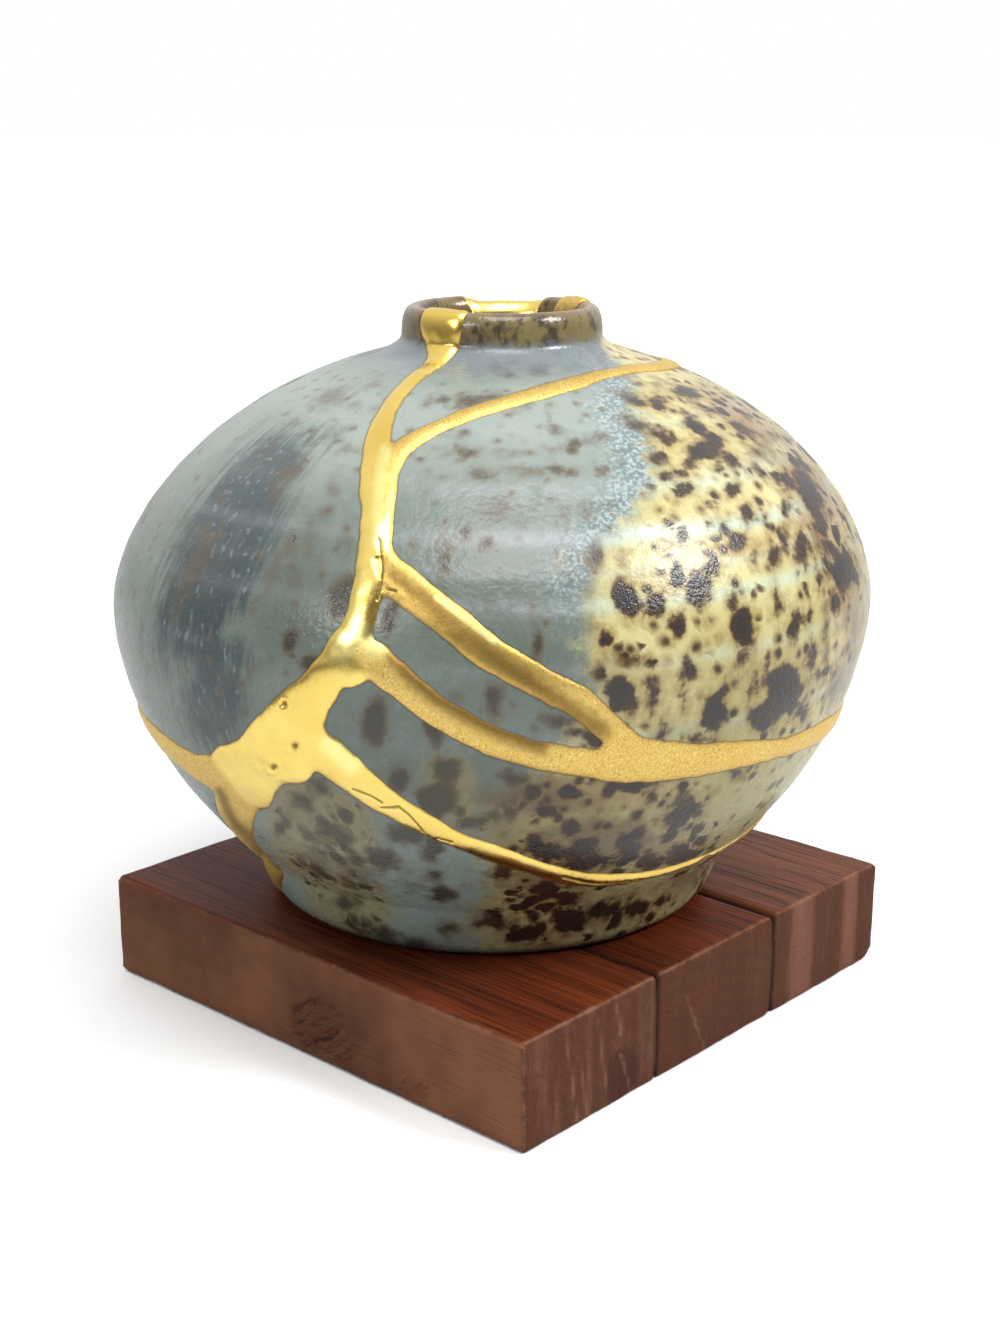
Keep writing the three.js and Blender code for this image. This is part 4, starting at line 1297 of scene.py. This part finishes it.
def gold():
    """Gold powder burnished on lacquer: bright and a little brushed, with painted shade at its edge and on
    strokes and painted highlights.
    """
    paint = Paint("seam_gold")
    mix, step, clouds, marked = paint.mix, paint.step, paint.clouds, paint.attribute
    slow = clouds(70, 3)
    brushed = clouds(900, 4, 0.65)
    powder = clouds(3000, 2, 0.6)
    depth = marked("seam")
    matte = 1 - step(marked("bright") + brushed * 0.15, 0.2, 0.8)
    shade = mix(step(slow, -1.0, 1.0), (240, 203, 100), (252, 227, 132))
    shade = mix(matte * 0.65, shade, (212, 176, 100))
    shade = mix(step(brushed, 0.1, 1.5) * (0.1 + matte * 0.3), shade, (186, 146, 76))
    shade = mix(step(powder, 0.1, 0.9) * (0.06 + matte * 0.5), shade, (255, 240, 180))
    shade = mix(step(powder, -0.1, -0.9) * (0.06 + matte * 0.5), shade, (132, 98, 46))
    # Painted shade: the gold darkened to brown along the drawn strokes.
    gold_shade = step(marked("gold_shade") + brushed * 0.15 + powder * 0.2, 0.0, 1.0)
    shade = mix(gold_shade * 0.75, shade, (112, 84, 36))
    # Painted highlights: the gold lightened along the drawn strokes.
    gold_glint = step(marked("gold_glint") + brushed * 0.1, -0.2, 0.8)
    shade = mix(gold_glint * 0.7, shade, (255, 246, 164))
    # Painted shadow: the gold darkened along its edge, where it meets the glaze.
    rim = 1 - step(depth + brushed * 0.1, 0.0, 0.35)
    shade = mix(rim * 0.6, shade, (140, 98, 44))
    worn = step(marked("pit"), 0.08, 0.3)
    shade = mix(worn * 0.75, shade, (92, 64, 28))
    paint.surface(
        Base_Color=shade,
        Metallic=1.0,
        Roughness=0.27 + matte * 0.22 + brushed * 0.03 + slow * 0.03 + rim * 0.1 + worn * 0.2,
        Normal=paint.bump(brushed * 0.15 + powder * matte * 0.4, 0.00003),
    )
    return paint.material


gold_bm, gold_inside = walled(0)
for close in FINE_REACH:
    places = co_of(gold_bm)
    pixels = front_pixels(places)
    apart = line_apart(pixels, CRACKS)
    for column, row, size in PITS:
        apart = np.minimum(apart, np.hypot(pixels[0] - column, pixels[1] - row) - size)
    gold_bm.verts.index_update()
    fine = [
        edge for edge in gold_bm.edges
        if not edge.verts[0][gold_inside] and not edge.verts[1][gold_inside]
        and max(apart[edge.verts[0].index], apart[edge.verts[1].index]) < close
        and all(not vert[gold_inside] for face in edge.link_faces for vert in face.verts)
    ]
    bmesh.ops.subdivide_edges(gold_bm, edges=fine, cuts=1, use_grid_fill=True)
turned = co_of(gold_bm)
relief, pitted, split, depth, bright = gold_relief(gold_bm)
gold_pixels = front_pixels(turned)
base_relief = thrown_relief(turned)
crest_keep = smooth(turned[:, 2], VASE_HEIGHT - LIP_DEPTH, VASE_HEIGHT)
inner_relief = INSIDE_SHARE * relief + crest_keep * (base_relief + (1 - INSIDE_SHARE) * relief)
even = (depth > 0.03) & (pitted + split < 0.02)
eased = [vert for vert, chosen in zip(gold_bm.verts, even) if chosen and not vert[gold_inside]]
piece, *_ = finish_piece(
    gold_bm, gold_inside, base_relief + relief, inner_relief, "gold_network", eased
)
attributes_on(piece, {
    "seam": np.clip(depth, -6, 6),
    "pit": np.clip(pitted + split * 1.2, 0, 1),
    "bright": bright,
    # Painted shade and painted highlights on the gold, along the drawn strokes.
    "gold_shade": np.clip(drawn_on_gold(gold_pixels, SHADE_ON_GOLD), -1, 1),
    "gold_glint": np.clip(drawn_on_gold(gold_pixels, GLINTS_ON_GOLD), -1, 1),
})
piece.data.materials.append(gold())
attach(piece, "root")
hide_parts("gold_seams")
turned_vase.free()

# Studio
# A white floor in a pale room that is brightest above and behind, as in a light tent that is open at the
# camera's side, with soft lamps above, at the right front and at the left.
FLOOR_HALF = 6
FLOOR_SEEN = 0.91
FLOOR_BOUNCE = 0.44
FLOOR_MIRRORED = 0.66
ROOM_DIM = 0.1
ROOM_BRIGHT = 0.95
LAMP_AIM = Vector((0, 0, 0.065))


def grey(share):
    return (share, share, share, 1)


bm = bmesh.new()
bmesh.ops.create_grid(bm, x_segments=1, y_segments=1, size=FLOOR_HALF)
floor = piece_from(bm, "studio_floor")
paint = Paint("white_floor")
seen = paint.node("ShaderNodeLightPath", output="Is Camera Ray")
mirrored = paint.node("ShaderNodeLightPath", output="Is Glossy Ray")
from_stand = paint.vector("LENGTH", paint.place, output="Value")
far_off = paint.step(from_stand, 0.17, 0.55) * seen
bounce = paint.mix(mirrored, grey(FLOOR_BOUNCE), grey(FLOOR_MIRRORED))
paint.surface(
    Base_Color=paint.mix(seen, bounce, grey(FLOOR_SEEN)),
    Emission_Color=paint.mix(far_off, grey(0), grey(1)),
    Emission_Strength=0.5,
    Roughness=0.9,
    Specular_IOR_Level=0.0,
)
floor.data.materials.append(paint.material)


class Room(Paint):
    """The pale room round the object."""

    def __init__(self, name):
        world = bpy.data.worlds.new(name)
        world.use_nodes = True
        scene.world = world
        self.tree = world.node_tree
        self.shader = self.tree.nodes["Background"]
        self.place = self.node("ShaderNodeTexCoord", output="Generated")


room = Room("pale_room")
away_from_front = (-0.5 * math.cos(FRONT), -0.5 * math.sin(FRONT), 1.0)
behind = room.vector("DOT_PRODUCT", room.place, away_from_front, output="Value")
glow = room.mix(room.step(behind, -0.2, 0.85), grey(ROOM_DIM), grey(ROOM_BRIGHT))
seen = room.node("ShaderNodeLightPath", output="Is Camera Ray")
room.surface(Color=room.mix(seen, glow, grey(1)), Strength=1.0)


def lamp(name, bearing, elevation, away, size, power):
    """Soft lamp that looks at the vase's belly from a bearing round its front."""
    light = bpy.data.lights.new(name, "AREA")
    light.shape = "RECTANGLE"
    light.size, light.size_y = size
    light.energy = power
    held = bpy.data.objects.new(name, light)
    scene.collection.objects.link(held)
    turn, lift = FRONT + math.radians(bearing), math.radians(elevation)
    out = Vector((math.cos(turn) * math.cos(lift), math.sin(turn) * math.cos(lift), math.sin(lift)))
    held.location = LAMP_AIM + out * away
    held.rotation_euler = (-out).to_track_quat("-Z", "Y").to_euler()


lamp("key_lamp", 70, 42, 0.9, (0.26, 0.26), 5.2)
lamp("left_lamp", -43, 28, 0.9, (0.2, 0.09), 1.3)
lamp("top_lamp", 5, 66, 0.9, (0.5, 0.5), 5.0)

scene.view_settings.view_transform = "Standard"
